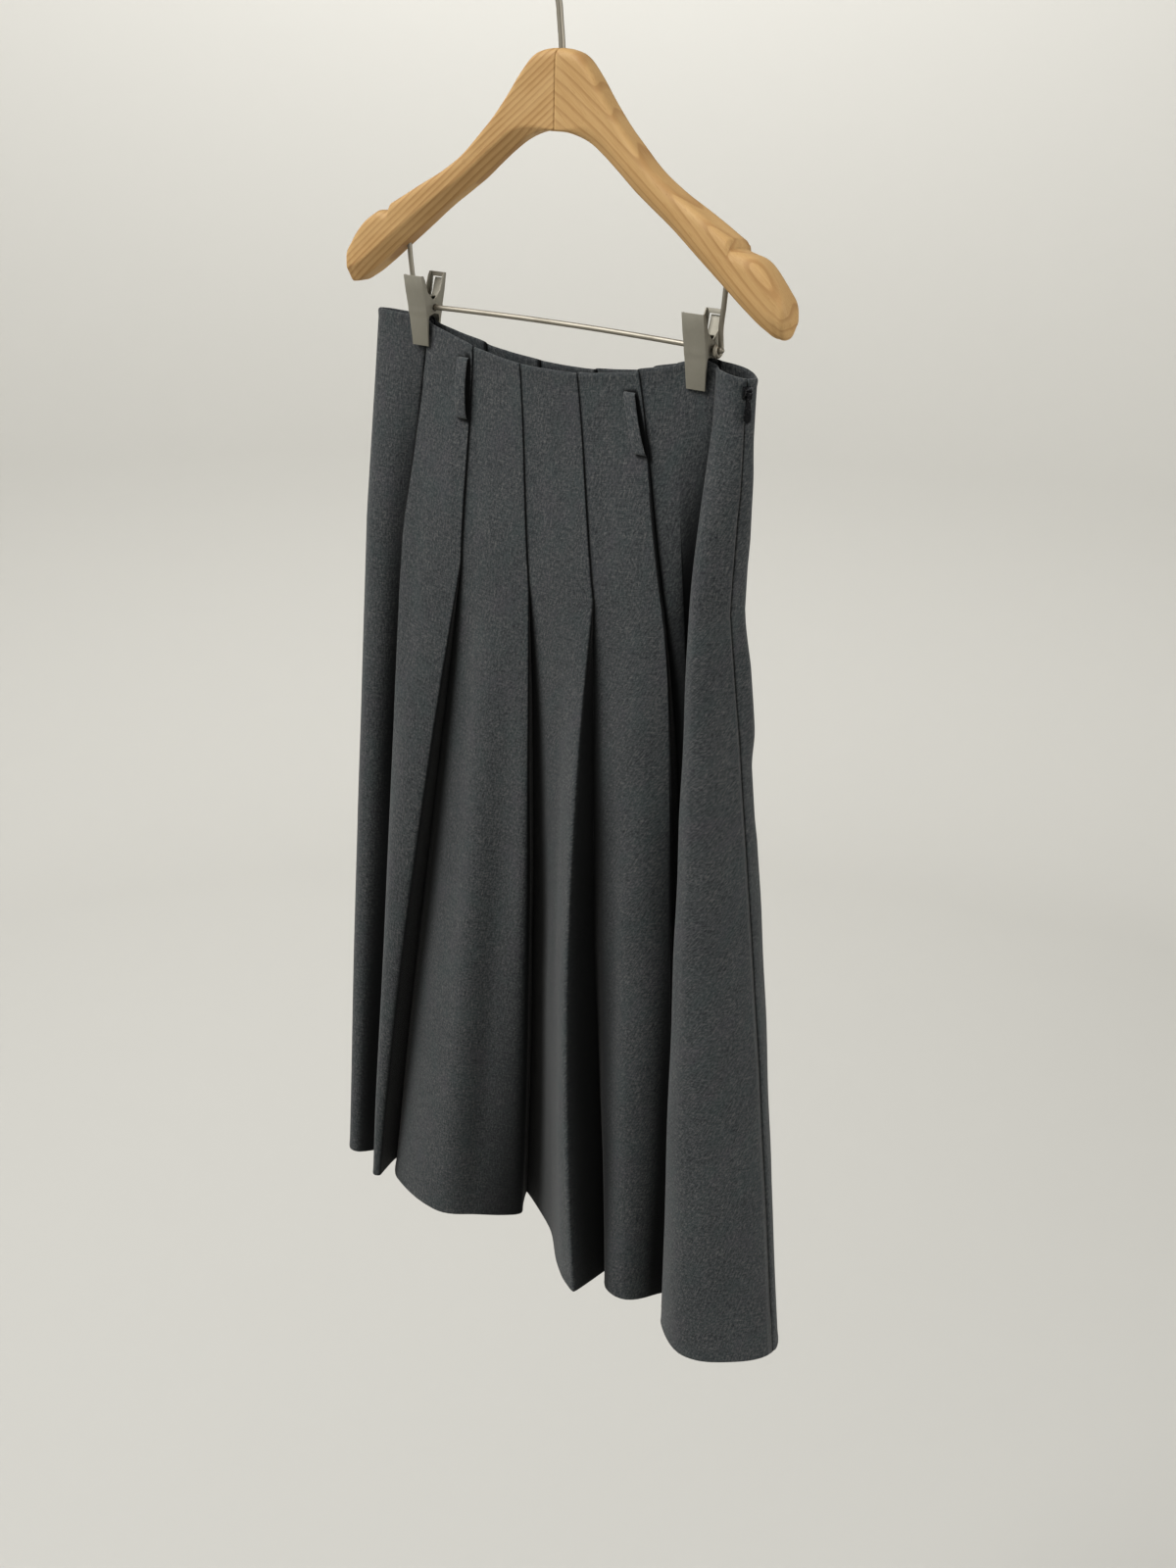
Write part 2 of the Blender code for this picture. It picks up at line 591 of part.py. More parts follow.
def hanger_arm(name, side, look, collection, cutters):
    points = []
    for station in ARM_STATIONS:
        points += arm_section(station, side)
    count = len(ARM_STATIONS)
    faces = [tuple(range(ARM_SIDES)), tuple(range((count - 1) * ARM_SIDES, count * ARM_SIDES))]
    for row in range(count - 1):
        for step in range(ARM_SIDES):
            here = row * ARM_SIDES + step
            there = row * ARM_SIDES + (step + 1) % ARM_SIDES
            faces.append((here, there, there + ARM_SIDES, here + ARM_SIDES))
    arm = mesh_object(name, points, faces, look, collection)
    wood_top = BAR_Z + ARM_STATIONS[0].upper
    stem_hole = cylinder(f"{name}_stem_hole", (0, 0, wood_top), (0, 0, 1),
                         HOOK_RADIUS + SEAM_GAP, 0.062, cutters)
    wire_hole = cylinder(f"{name}_wire_hole", (side * HANGER_HALF, 0, BAR_Z + 0.046),
                         (0, 0, 1), WIRE_RADIUS + SEAM_GAP, 0.028, cutters)
    top = np.interp(NOTCH_X, [station.x for station in ARM_STATIONS],
                    [station.upper for station in ARM_STATIONS])
    notch = cylinder(f"{name}_notch", (side * NOTCH_X, 0, BAR_Z + top + NOTCH_RADIUS - NOTCH_DEPTH),
                     (0, 1, 0), NOTCH_RADIUS, 0.040, cutters)
    combine(arm, "DIFFERENCE", stem_hole, wire_hole, notch)
    return arm


def hanger_hook(look, collection):
    """A stem that rises from the mitre and bends round a rail, with its seat at the origin."""
    centre_z = -(HOOK_BEND - HOOK_RADIUS)
    stem_foot = BAR_Z + ARM_STATIONS[0].upper - 0.030
    points = [(0, 0, stem_foot), (0, 0, centre_z - HOOK_BEND - 0.012)]
    for step in range(7):
        turn = step / 6
        ease = turn * turn * (3 - 2 * turn)
        low = centre_z - HOOK_BEND - 0.009
        high = centre_z - HOOK_BEND * math.sin(math.radians(50))
        points.append((HOOK_BEND * math.cos(math.radians(50)) * ease, 0, low + (high - low) * turn))
    for step in range(1, 23):
        angle = math.radians(-50 + 250 * step / 22)
        points.append((HOOK_BEND * math.cos(angle), 0, centre_z + HOOK_BEND * math.sin(angle)))
    return rod("hanger_hook", points, HOOK_RADIUS, look, collection)


def bar_wire(name, side, look, collection):
    """A wire that drops out of the arm and turns under the end of the clip bar."""
    x = side * HANGER_HALF
    turn = BAR_RADIUS + WIRE_RADIUS + SEAM_GAP
    points = [(x, 0, BAR_Z + 0.058), (x, 0, BAR_Z + 0.012), (x, turn * 0.55, BAR_Z + 0.0072)]
    for step in range(10):
        angle = math.radians(180 + 210 * step / 9)
        points.append((x, -turn * math.cos(angle), BAR_Z + turn * math.sin(angle)))
    return rod(name, points, WIRE_RADIUS, look, collection)


def clip_bar(look, collection):
    end = HANGER_HALF + 0.0035
    points = []
    for step in range(15):
        x = -end + 2 * end * step / 14
        points.append((x, 0, bar_height(x)))
    return rod("clip_bar", points, BAR_RADIUS, look, collection)


def clip_plate(name, clip_x, facing, inset, look, collection):
    """A pressed plate with two flanges that widen into ears round the bar."""
    points = []
    base = bar_height(clip_x)
    for station in PLATE_STATIONS:
        half = (station.width - inset) / 2
        inside = half - PLATE_SHEET
        face, under = station.face, station.face - PLATE_SHEET
        section = ((-half, face), (half, face), (half, station.flange), (inside, station.flange),
                   (inside, under), (-inside, under), (-inside, station.flange),
                   (-half, station.flange))
        points += [(clip_x + x, facing * y, base + station.z) for x, y in section]
    count = len(PLATE_STATIONS)
    faces = []
    for end in (0, (count - 1) * 8):
        faces += [tuple(end + corner for corner in strip)
                  for strip in ((0, 1, 4, 5), (1, 2, 3, 4), (0, 5, 6, 7))]
    for row in range(count - 1):
        for corner in range(8):
            here, there = row * 8 + corner, row * 8 + (corner + 1) % 8
            faces.append((here, there, there + 8, here + 8))
    return mesh_object(name, points, faces, look, collection)


def clip_spring(name, clip_x, look, collection):
    """A leaf that arches over the bar and pushes the two plates' tops apart."""
    base = bar_height(clip_x)
    last = len(SPRING_PATH) - 1
    outer, inner = [], []
    for index, (y, z) in enumerate(SPRING_PATH):
        before = Vector(SPRING_PATH[max(index - 1, 0)])
        after = Vector(SPRING_PATH[min(index + 1, last)])
        across_leaf = (after - before).normalized().yx * SPRING_SHEET / 2
        for x in (clip_x - SPRING_WIDTH / 2, clip_x + SPRING_WIDTH / 2):
            outer.append((x, y - across_leaf.x, base + z + across_leaf.y))
            inner.append((x, y + across_leaf.x, base + z - across_leaf.y))
    return sheet_solid(name, outer, inner, len(SPRING_PATH), 2, look, collection)


def clip_tongue(name, clip_x, cutters):
    """The tongue that is cut free in the back plate's window and bent out at its top."""
    base = bar_height(clip_x)
    foot = Vector((clip_x, 0.01125, base + WINDOW_LOW - 0.0010))
    tip = Vector((clip_x, 0.0139 + TONGUE_LEAN, base + WINDOW_HIGH - 0.0012))
    rise = (tip - foot).normalized()
    out = Vector((1, 0, 0)).cross(rise)
    size = (TONGUE_WIDTH, PLATE_SHEET * 0.8, (tip - foot).length)
    return box(name, (foot + tip) / 2, size, cutters, (Vector((1, 0, 0)), out, rise))


def clip(side_name, clip_x, look, collection, cutters):
    ear_hole = cylinder(f"clip_{side_name}_ear_hole", (clip_x, 0, bar_height(clip_x)), (1, 0, 0),
                        EAR_HOLE_RADIUS, 0.03, cutters)
    front = clip_plate(f"clip_{side_name}_front", clip_x, -1, 0, look, collection)
    combine(front, "DIFFERENCE", ear_hole)
    back = clip_plate(f"clip_{side_name}_back", clip_x, 1, BACK_PLATE_INSET, look, collection)
    middle = bar_height(clip_x) + (WINDOW_LOW + WINDOW_HIGH) / 2
    window = box(f"clip_{side_name}_window", (clip_x, 0.0135, middle),
                 (WINDOW_WIDTH, 0.0075, WINDOW_HIGH - WINDOW_LOW), cutters)
    combine(back, "DIFFERENCE", ear_hole, window)
    combine(back, "UNION", clip_tongue(f"clip_{side_name}_tongue", clip_x, cutters))
    clip_spring(f"clip_{side_name}_spring", clip_x, look, collection)


# ---------------------------------------------------------------- assembly


def build():
    clear_scene()
    skirt = new_collection("pleated_midi_skirt")
    cutters = new_collection("cutters", helper=True)

    suiting = material("suiting_cloth", (68, 69, 71), 0.92)
    tape = material("zip_tape_cloth", (38, 39, 42), 0.9)
    enamel = material("zip_enamel", (34, 35, 38), 0.45, 0.3)
    ash = material("pale_wood", (190, 153, 104), 0.55)
    nickel = material("satin_nickel", (150, 144, 132), 0.38, 1.0)

    right = column_of("side_right")
    end = len(ring(0)[0])
    cloth_wall("skirt_front", list(range(right + 1)), -1, suiting, skirt)
    cloth_wall("skirt_back", list(range(right, end)) + [0], 1, suiting, skirt)

    for name, facing, top_x, bottom_x, below, length in (
        ("belt_loop_front_left", -1, -0.0785, -0.0780, 0.0100, 0.0450),
        ("belt_loop_front_right", -1, 0.0720, 0.0850, 0.0150, 0.0420),
        ("belt_loop_back_left", 1, -0.0735, -0.0755, 0.0100, 0.0450),
        ("belt_loop_back_right", 1, 0.0770, 0.0785, 0.0100, 0.0450),
    ):
        drop = (FRONT_SAG if facing < 0 else BACK_SAG) * 0.62
        top = BAR_Z - EDGE_BELOW_BAR - drop - below
        belt_loop(name, facing, top_x, bottom_x, top, top - length, suiting, skirt)

    zip_tape(tape, skirt)
    zip_slider_and_pull(enamel, skirt, cutters)

    for name, side in (("left", -1), ("right", 1)):
        hanger_arm(f"hanger_arm_{name}", side, ash, skirt, cutters)
        bar_wire(f"bar_wire_{name}", side, nickel, skirt)
    hanger_hook(nickel, skirt)
    clip_bar(nickel, skirt)
    clip("left", CLIP_LEFT_X, nickel, skirt, cutters)
    clip("right", CLIP_RIGHT_X, nickel, skirt, cutters)


build()
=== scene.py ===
"""Looks of a pleated midi skirt that hangs by two clips from a wooden hanger.

The skirt is a front and a back shell of suiting, draped over the fold tables below, with belt
loops and a concealed side zip. Lengths are metres, +Z is up, +X is the viewer's right, the front
faces -Y, and the origin is the inner top of the hook.
"""

import json
import logging
import math
from dataclasses import dataclass
from enum import Enum
from typing import Any, Callable, Iterable, NamedTuple, Sequence

import bmesh
import bpy
import numpy as np
from mathutils import Matrix, Vector

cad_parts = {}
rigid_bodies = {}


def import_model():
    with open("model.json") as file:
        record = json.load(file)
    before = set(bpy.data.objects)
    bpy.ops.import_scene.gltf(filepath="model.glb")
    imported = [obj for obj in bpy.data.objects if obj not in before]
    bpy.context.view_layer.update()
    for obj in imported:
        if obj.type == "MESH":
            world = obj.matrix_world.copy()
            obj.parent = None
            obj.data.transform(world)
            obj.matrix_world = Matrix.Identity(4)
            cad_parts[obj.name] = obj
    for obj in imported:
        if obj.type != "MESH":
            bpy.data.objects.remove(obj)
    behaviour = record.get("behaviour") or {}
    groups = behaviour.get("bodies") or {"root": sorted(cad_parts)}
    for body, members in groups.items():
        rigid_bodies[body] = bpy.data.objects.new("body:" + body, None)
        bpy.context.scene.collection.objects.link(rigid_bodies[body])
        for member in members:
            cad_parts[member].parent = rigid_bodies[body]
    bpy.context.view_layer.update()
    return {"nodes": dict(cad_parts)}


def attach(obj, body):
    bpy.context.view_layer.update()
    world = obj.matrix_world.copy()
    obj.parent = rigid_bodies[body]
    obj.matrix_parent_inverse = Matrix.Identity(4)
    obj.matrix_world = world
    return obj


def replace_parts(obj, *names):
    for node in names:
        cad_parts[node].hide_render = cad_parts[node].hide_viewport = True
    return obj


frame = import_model()

log = logging.getLogger("skirt")

HELD = "skirt_on_hanger"
SWINGS = "zip_pull"

BAR_Z = -0.275
HEM_Z = BAR_Z - 0.791
CLIP_LEFT_X = -0.1235
CLIP_RIGHT_X = 0.1230
WAIST_LEFT_X = -0.169
SEAM_RIGHT_X = 0.163
HANGER_HALF = 0.140
HIP_LEVEL = 0.213


class Facing(Enum):
    """Which half of the skirt a piece belongs to, as the sign of its Y."""

    FRONT = -1
    BACK = 1


class Side(Enum):
    """Which half of the hanger a piece belongs to, as the sign of its X."""

    LEFT = -1
    RIGHT = 1


# ---- shader writing


def operator(operation: str, swapped: bool = False) -> Callable[..., "Link"]:
    """A method of Link that does one sum with another value.

    Args:
        operation: The Math node's operation.
        swapped: True where the other value comes first.

    Returns:
        The method.
    """

    def method(link: "Link", other: Any) -> "Link":
        """Adds the Math node."""
        return link.maths(operation, *((other, link) if swapped else (link, other)))

    return method


class Link:
    """A shader socket that arithmetic is written on."""

    def __init__(self, shader: "Shader", socket: bpy.types.NodeSocket) -> None:
        """Keeps the socket and the shader that it belongs to."""
        self.shader = shader
        self.socket = socket

    def maths(self, operation: str, *values: Any) -> "Link":
        """Adds one Math node over these values."""
        return self.shader.node("ShaderNodeMath", {"operation": operation}, dict(enumerate(values)))

    __add__ = __radd__ = operator("ADD")
    __sub__ = operator("SUBTRACT")
    __rsub__ = operator("SUBTRACT", swapped=True)
    __mul__ = __rmul__ = operator("MULTIPLY")
    __truediv__ = operator("DIVIDE")
    __pow__ = operator("POWER")

    def fraction(self) -> "Link":
        """What is left past the whole number."""
        return self.maths("FRACT", self)

    def sine(self) -> "Link":
        """Sine of the value in radians."""
        return self.maths("SINE", self)

    def between(self, low: float, high: float) -> "Link":
        """A smooth step of this value.

        Args:
            low: Where it is still 0.
            high: Where it has come to 1.

        Returns:
            A link to the step.
        """
        sockets = {"Value": self, "From Min": low, "From Max": high}
        settings = {"interpolation_type": "SMOOTHSTEP"}
        return self.shader.node("ShaderNodeMapRange", settings, sockets)


class Shader:
    """A material under construction, with one method that makes its nodes."""

    def __init__(self, name: str) -> None:
        """Starts a material with a Principled shader.

        Args:
            name: Name of the material.
        """
        self.material = bpy.data.materials.new(name)
        self.material.use_nodes = True
        self.tree = self.material.node_tree
        self.surface = self.tree.nodes["Principled BSDF"]

    def node(self, kind: str, settings: dict[str, Any] | None = None,
             sockets: dict[Any, Any] | None = None, out: int | str = 0) -> Link:
        """Makes one node.

        Args:
            kind: The node's type.
            settings: Its properties, set before its sockets. "stops" fills a colour ramp.
            sockets: Values or links, by socket name or number.
            out: The output that is handed back.

        Returns:
            A link to that output.
        """
        made = self.tree.nodes.new(kind)
        for key, value in (settings or {}).items():
            if key == "stops":
                self._fill_ramp(made, value)
            else:
                setattr(made, key, value)
        for key, value in (sockets or {}).items():
            self.feed(made.inputs[key], value)
        return Link(self, made.outputs[out])

    def feed(self, socket: bpy.types.NodeSocket, value: Any) -> None:
        """Links a socket, or sets its value.

        Args:
            socket: The socket.
            value: A link, or a plain value.
        """
        if isinstance(value, Link):
            self.tree.links.new(value.socket, socket)
        else:
            socket.default_value = value

    def _fill_ramp(self, ramp: bpy.types.Node, stops: Sequence[tuple[float, tuple]]) -> None:
        """Gives a colour ramp these stops.

        Args:
            ramp: The ramp's node.
            stops: Places from 0 to 1 with their colours.
        """
        elements = ramp.color_ramp.elements
        while len(elements) < len(stops):
            elements.new(0.5)
        for element, (place, shade) in zip(elements, stops):
            element.position = place
            element.color = shade

    def mix(self, factor: Any, first: Any, second: Any) -> Link:
        """Mixes two colours."""
        sockets = {0: factor, 6: first, 7: second}
        return self.node("ShaderNodeMix", {"data_type": "RGBA"}, sockets, out=2)

    def ramp(self, factor: Link, *stops: tuple[float, tuple]) -> Link:
        """Colours a value by a ramp."""
        return self.node("ShaderNodeValToRGB", {"stops": stops}, {"Fac": factor})

    def place(self, source: str, scale: Sequence[float], turn: Sequence[float] = (0, 0, 0),
              shift: Sequence[float] = (0, 0, 0)) -> Link:
        """Coordinates, moved, turned and stretched.

        Args:
            source: Object or UV.
            scale: Waves or cells in a metre, along each axis.
            turn: Angles in radians.
            shift: How far the pattern moves, in its own cells.

        Returns:
            A link to the coordinates.
        """
        where = self.node("ShaderNodeTexCoord", out=source)
        sockets = {"Vector": where, "Location": shift, "Rotation": turn, "Scale": scale}
        return self.node("ShaderNodeMapping", {}, sockets)

    def noise(self, where: Link, detail: float, roughness: float = 0.5) -> Link:
        """Soft noise about 0.5, a unit of the coordinates wide."""
        sockets = {"Vector": where, "Scale": 1, "Detail": detail, "Roughness": roughness}
        return self.node("ShaderNodeTexNoise", {}, sockets)

    def bump(self, height: Link, strength: float, distance: float,
             under: Link | None = None) -> Link:
        """A bump from a height, over another one if that is given.

        Args:
            height: What rises, from 0 to 1.
            strength: How much of the bump shows.
            distance: Its real height in metres.
            under: A normal that it lies on.

        Returns:
            A link to the normal.
        """
        sockets: dict[str, Any] = {"Height": height, "Strength": strength, "Distance": distance}
        if under:
            sockets["Normal"] = under
        return self.node("ShaderNodeBump", {}, sockets)

    def finish(self, **sockets: Any) -> bpy.types.Material:
        """Feeds the Principled shader's sockets.

        Args:
            **sockets: Values or links, by socket name with _ for its spaces.

        Returns:
            The material.
        """
        for key, value in sockets.items():
            self.feed(self.surface.inputs[key.replace("_", " ")], value)
        return self.material


def shade(red: float, green: float, blue: float) -> tuple[float, float, float, float]:
    """A shader colour from an sRGB one.

    Args:
        red: From 0 to 255.
        green: From 0 to 255.
        blue: From 0 to 255.

    Returns:
        The linear colour with its alpha.
    """
    linear = [((c / 255 + 0.055) / 1.055) ** 2.4 if c > 10 else c / 3295
              for c in (red, green, blue)]
    return (*linear, 1.0)


# ---- finishes


@dataclass(frozen=True)
class SuitingFinish:
    """Charcoal heather suiting: mixed light and dark fibres under a short matt nap, with painted shade
    that darkens its colour in the hollows of the folds.
    """

    name: str = "suiting_charcoal_heather"
    dark: tuple = (34, 37, 40)
    middle: tuple = (66, 69, 71)
    light: tuple = (104, 104, 103)
    # Near-black colour of the painted shade in the hollows of the folds.
    deep: tuple = (13, 15, 17)
    green: tuple = (58, 72, 72)
    mauve: tuple = (80, 75, 82)
    thread: float = 0.0006
    twill_degrees: float = 38
    # These three set the painted shade: the open share where it is full, how fast it fades out, and
    # whether it is painted at all.
    shade_full_share: float = 0.38
    shade_fade_power: float = 1.9
    folded: bool = True

    def material(self) -> bpy.types.Material:
        """Makes the material, on the cloth's own UV map in metres, with painted shade read from the
        shell's open share attribute.

        Returns:
            The material.
        """
        s = Shader(self.name)
        pitch = 1 / self.thread
        warp = s.noise(s.place("UV", (pitch * 0.8, pitch / 16, 1)), 2, 0.6)
        weft = s.noise(s.place("UV", (pitch / 16, pitch * 0.8, 1), shift=(3.1, 7.7, 0)), 2, 0.6)
        speck = s.noise(s.place("UV", (pitch * 0.34, pitch * 0.26, 1), shift=(9, 1, 0)), 4, 0.8)
        fibre = warp * 0.26 + weft * 0.16 + speck * 0.58
        cloudy = s.noise(s.place("UV", (24, 16, 1)), 3, 0.55)
        tone = s.ramp(fibre + (cloudy - 0.5) * 0.05, (0.37, shade(*self.dark)),
                      (0.5, shade(*self.middle)), (0.63, shade(*self.light)))
        greenish = s.noise(s.place("UV", (42, 30, 1), shift=(5, 5, 0)), 3, 0.6).between(0.45, 0.7)
        tone = s.mix(greenish * 0.22, tone, shade(*self.green))
        reddish = s.noise(s.place("UV", (36, 26, 1), shift=(2, 8, 0)), 3, 0.6).between(0.5, 0.72)
        tone = s.mix(reddish * 0.2, tone, shade(*self.mauve))
        # Painted shade: where the folds on either side, or a belt loop, close off the room before the
        # cloth, its colour is mixed towards near-black.
        if self.folded:
            share = s.node("ShaderNodeAttribute", {"attribute_name": "open_share"}, out="Fac")
            lit = share.between(self.shade_full_share, 1.0) ** self.shade_fade_power
            tone = s.mix(lit, shade(*self.deep), tone)
        rows = s.place("UV", (pitch * math.pi, pitch * math.pi, 1),
                       turn=(0, 0, math.radians(self.twill_degrees)))
        twill = s.node("ShaderNodeTexWave", {"wave_type": "BANDS", "bands_direction": "X"},
                       {"Vector": rows, "Scale": 0.16, "Distortion": 1.4, "Detail": 1}, "Fac")
        weave = s.bump(twill * 0.4 + warp * 0.6 + weft * 0.6, 0.4, 0.0002)
        nap = s.bump(speck, 0.3, 0.0008, weave)
        return s.finish(Base_Color=tone, Roughness=fibre * 0.2 + 0.8, Normal=nap,
                        Specular_IOR_Level=0.22, Sheen_Weight=0.16, Sheen_Roughness=0.45)


@dataclass(frozen=True)
class TapeFinish:
    """Woven zip tape: small ribs across its length."""

    name: str = "zip_tape_weave"
    colour: tuple = (40, 41, 44)
    lighter: float = 1.5
    rib_waves: float = 2600

    def material(self) -> bpy.types.Material:
        """Makes the material, on Object coordinates.

        Returns:
            The material.
        """
        s = Shader(self.name)
        ribbed = s.place("Object", (1, 1, self.rib_waves))
        ribs = s.node("ShaderNodeSeparateXYZ", {}, {0: ribbed}, 2).sine()
        flecks = s.noise(s.place("Object", (2200, 2200, 900)), 2)
        tone = s.mix(flecks, shade(*self.colour), shade(*[c * self.lighter for c in self.colour]))
        return s.finish(Base_Color=tone, Roughness=flecks * 0.2 + 0.75,
                        Normal=s.bump(ribs * 0.5 + flecks, 0.5, 0.0002), Specular_IOR_Level=0.25)


@dataclass(frozen=True)
class MetalFinish:
    """Satin nickel wire and sheet, brushed along Z, dulled where fingers and jaws rub."""

    name: str = "satin_nickel_plate"
    colour: tuple = (160, 155, 144)
    worn: tuple = (132, 126, 115)
    rough: float = 0.46
    brush: tuple = (2600, 2600, 60)

    def material(self) -> bpy.types.Material:
        """Makes the material, on Object coordinates.

        Returns:
            The material.
        """
        s = Shader(self.name)
        lines = s.noise(s.place("Object", self.brush), 3, 0.6)
        patch = s.noise(s.place("Object", (45, 45, 30)), 3, 0.6)
        tone = s.mix(patch.between(0.45, 0.8) * 0.4, shade(*self.colour), shade(*self.worn))
        tone = s.mix(lines * 0.2, tone, shade(*self.worn))
        return s.finish(Base_Color=tone, Metallic=1.0, Normal=s.bump(lines, 0.05, 0.0001),
                        Roughness=self.rough + patch * 0.14 + lines * 0.08)


@dataclass(frozen=True)
class EnamelFinish:
    """Dark enamel on zip hardware, rubbed brighter in flecks."""

    name: str = "zip_dark_enamel"
    colour: tuple = (30, 31, 34)
    rubbed: tuple = (104, 103, 102)

    def material(self) -> bpy.types.Material:
        """Makes the material, on Object coordinates.

        Returns:
            The material.
        """
        s = Shader(self.name)
        wear = s.noise(s.place("Object", (700, 700, 500)), 4, 0.65).between(0.55, 0.75)
        return s.finish(Base_Color=s.mix(wear * 0.5, shade(*self.colour), shade(*self.rubbed)),
                        Roughness=wear * 0.15 + 0.24, Metallic=0.6,
                        Normal=s.bump(wear, 0.1, 0.0001))


@dataclass(frozen=True)
class WoodFinish:
    """Pale softwood under thin lacquer. Its rings are arches that rise or sink along the arm."""

    name: str
    slope_degrees: float
    climb: float
    bend: float
    arch: float
    spacing: float
    late_share: float
    wander: float
    strength: float = 0.56
    late_ends: float = 0.92
    late_edge: float = 0.02
    early: tuple = (186, 153, 106)
    late: tuple = (139, 99, 58)
    fibre_dark: tuple = (160, 120, 75)
    blotch_pale: tuple = (203, 172, 126)
    fleck_dark: tuple = (134, 92, 54)

    def material(self) -> bpy.types.Material:
        """Makes the material, on Object coordinates turned along the arm.

        Returns:
            The material.
        """
        s = Shader(self.name)
        along = s.place("Object", (1, 1, 1), (0, math.radians(self.slope_degrees), 0))

        def stretched(*scale: float) -> Link:
            """Coordinates along the arm, stretched."""
            return s.node("ShaderNodeMapping", {}, {"Vector": along, "Scale": scale})

        x, y, z = (s.node("ShaderNodeSeparateXYZ", {}, {0: along}, axis) for axis in range(3))
        warp = s.noise(stretched(9, 26, 26), 2, 0.5) - 0.5
        depth = z + y * y * self.arch - x * self.climb + x * x * self.bend + warp * self.wander * 2
        rings = (depth / self.spacing).fraction()
        band = rings.between(self.late_ends - self.late_share, self.late_ends - self.late_edge)
        band = band * (1 - rings.between(self.late_ends, 1.0))
        fibre = s.noise(stretched(30, 1100, 1100), 3, 0.65)
        blotch = s.noise(stretched(14, 60, 60), 3, 0.55)
        flecks = s.noise(stretched(120, 2300, 2300), 1).between(0.66, 0.74)
        tone = s.mix(band * self.strength, shade(*self.early), shade(*self.late))
        tone = s.mix(fibre.between(0.3, 0.75) * 0.32, tone, shade(*self.fibre_dark))
        tone = s.mix(blotch.between(0.4, 0.75) * 0.35, tone, shade(*self.blotch_pale))
        tone = s.mix(flecks * 0.3, tone, shade(*self.fleck_dark))
        return s.finish(Base_Color=tone, Roughness=0.58 + fibre * 0.16,
                        Normal=s.bump(fibre * 0.6 - band * 0.4, 0.12, 0.0003),
                        Coat_Weight=0.05, Coat_Roughness=0.5, Specular_IOR_Level=0.35)


@dataclass(frozen=True)
class FloorFinish:
    """Plain pale floor."""

    name: str = "studio_floor"
    colour: tuple = (197, 196, 192)
    darker: tuple = (191, 190, 186)

    def material(self) -> bpy.types.Material:
        """Makes the material, faintly mottled.

        Returns:
            The material.
        """
        s = Shader(self.name)
        mottle = s.noise(s.place("Object", (5, 5, 5)), 3)
        tone = s.mix(mottle * 0.1, shade(*self.colour), shade(*self.darker))
        return s.finish(Base_Color=tone, Roughness=0.95, Specular_IOR_Level=0.1)


# ---- mesh building


def smooth(part: np.ndarray | float) -> np.ndarray | float:
    """Smooth step of a value held between 0 and 1."""
    held = np.clip(part, 0, 1)
    return held * held * (3 - 2 * held)


def through(places: Sequence[float], values: Sequence[float], at: np.ndarray) -> np.ndarray:
    """A smooth curve through values at rising places, read at other places.

    Args:
        places: Where the values are known.
        values: The values.
        at: Where the curve is read.

    Returns:
        The curve there.
    """
    x, y = np.array(places, float), np.array(values, float)
    slope = np.gradient(y, x)
    index = np.clip(np.searchsorted(x, at, "right") - 1, 0, len(x) - 2)
    width = x[index + 1] - x[index]
    u = np.clip((at - x[index]) / width, 0, 1)
    return (y[index] * (2 * u**3 - 3 * u**2 + 1) + y[index + 1] * (3 * u**2 - 2 * u**3)
            + slope[index] * width * (u**3 - 2 * u**2 + u)
            + slope[index + 1] * width * (u**3 - u**2))


def draped_grid(name: str, points: np.ndarray, uv: np.ndarray | None = None,
                values: dict[str, np.ndarray] | None = None,
                thin: bool = False) -> bpy.types.Object:
    """Drapes a flat grid over points, and closes it where its borders meet.

    Args:
        name: Name of the piece.
        points: Rows of columns of places.
        uv: Rows of columns of map places in metres, if the finish follows the surface.
        values: Rows of columns of numbers that a finish reads, by attribute name.
        thin: True for a shell that is too thin and folded for its outside to be worked out. Its
            faces are turned over, which points them outwards.

    Returns:
        The smooth-shaded object.
    """
    rows, columns = points.shape[:2]
    work = bmesh.new()
    bmesh.ops.create_grid(work, x_segments=columns - 1, y_segments=rows - 1, size=1)
    mesh = bpy.data.meshes.new(name)
    work.to_mesh(mesh)
    work.free()
    mesh.vertices.foreach_set("co", points.reshape(-1).astype(np.float32))
    if uv is not None:
        corners = np.empty(len(mesh.loops), np.int32)
        mesh.loops.foreach_get("vertex_index", corners)
        layer = mesh.uv_layers.new(name="UVMap")
        layer.data.foreach_set("uv", uv.reshape(-1, 2)[corners].reshape(-1).astype(np.float32))
    for key, numbers in (values or {}).items():
        layer = mesh.attributes.new(key, "FLOAT", "POINT")
        layer.data.foreach_set("value", numbers.reshape(-1).astype(np.float32))
    work = bmesh.new()
    work.from_mesh(mesh)
    bmesh.ops.remove_doubles(work, verts=work.verts, dist=1e-7)
    bmesh.ops.dissolve_degenerate(work, edges=work.edges, dist=1e-8)
    if thin:
        bmesh.ops.reverse_faces(work, faces=work.faces)
    else:
        bmesh.ops.recalc_face_normals(work, faces=work.faces)
    return in_scene(name, work, mesh)


def in_scene(name: str, work: bmesh.types.BMesh,
             mesh: bpy.types.Mesh | None = None) -> bpy.types.Object:
    """Writes a bmesh to a smooth-shaded object in the scene, and frees it.

    Args:
        name: Name of the object.
        work: The bmesh.
        mesh: A mesh that has its map and attributes, if there is one.

    Returns:
        The object.
    """
    mesh = mesh or bpy.data.meshes.new(name)
    for face in work.faces:
        face.smooth = True
    work.to_mesh(mesh)
    work.free()
    obj = bpy.data.objects.new(name, mesh)
    bpy.context.scene.collection.objects.link(obj)
    return obj


def closed(rows: np.ndarray) -> np.ndarray:
    """Rows of round sections with the first place of each repeated at its end."""
    return np.concatenate([rows, rows[:, :1]], axis=1)


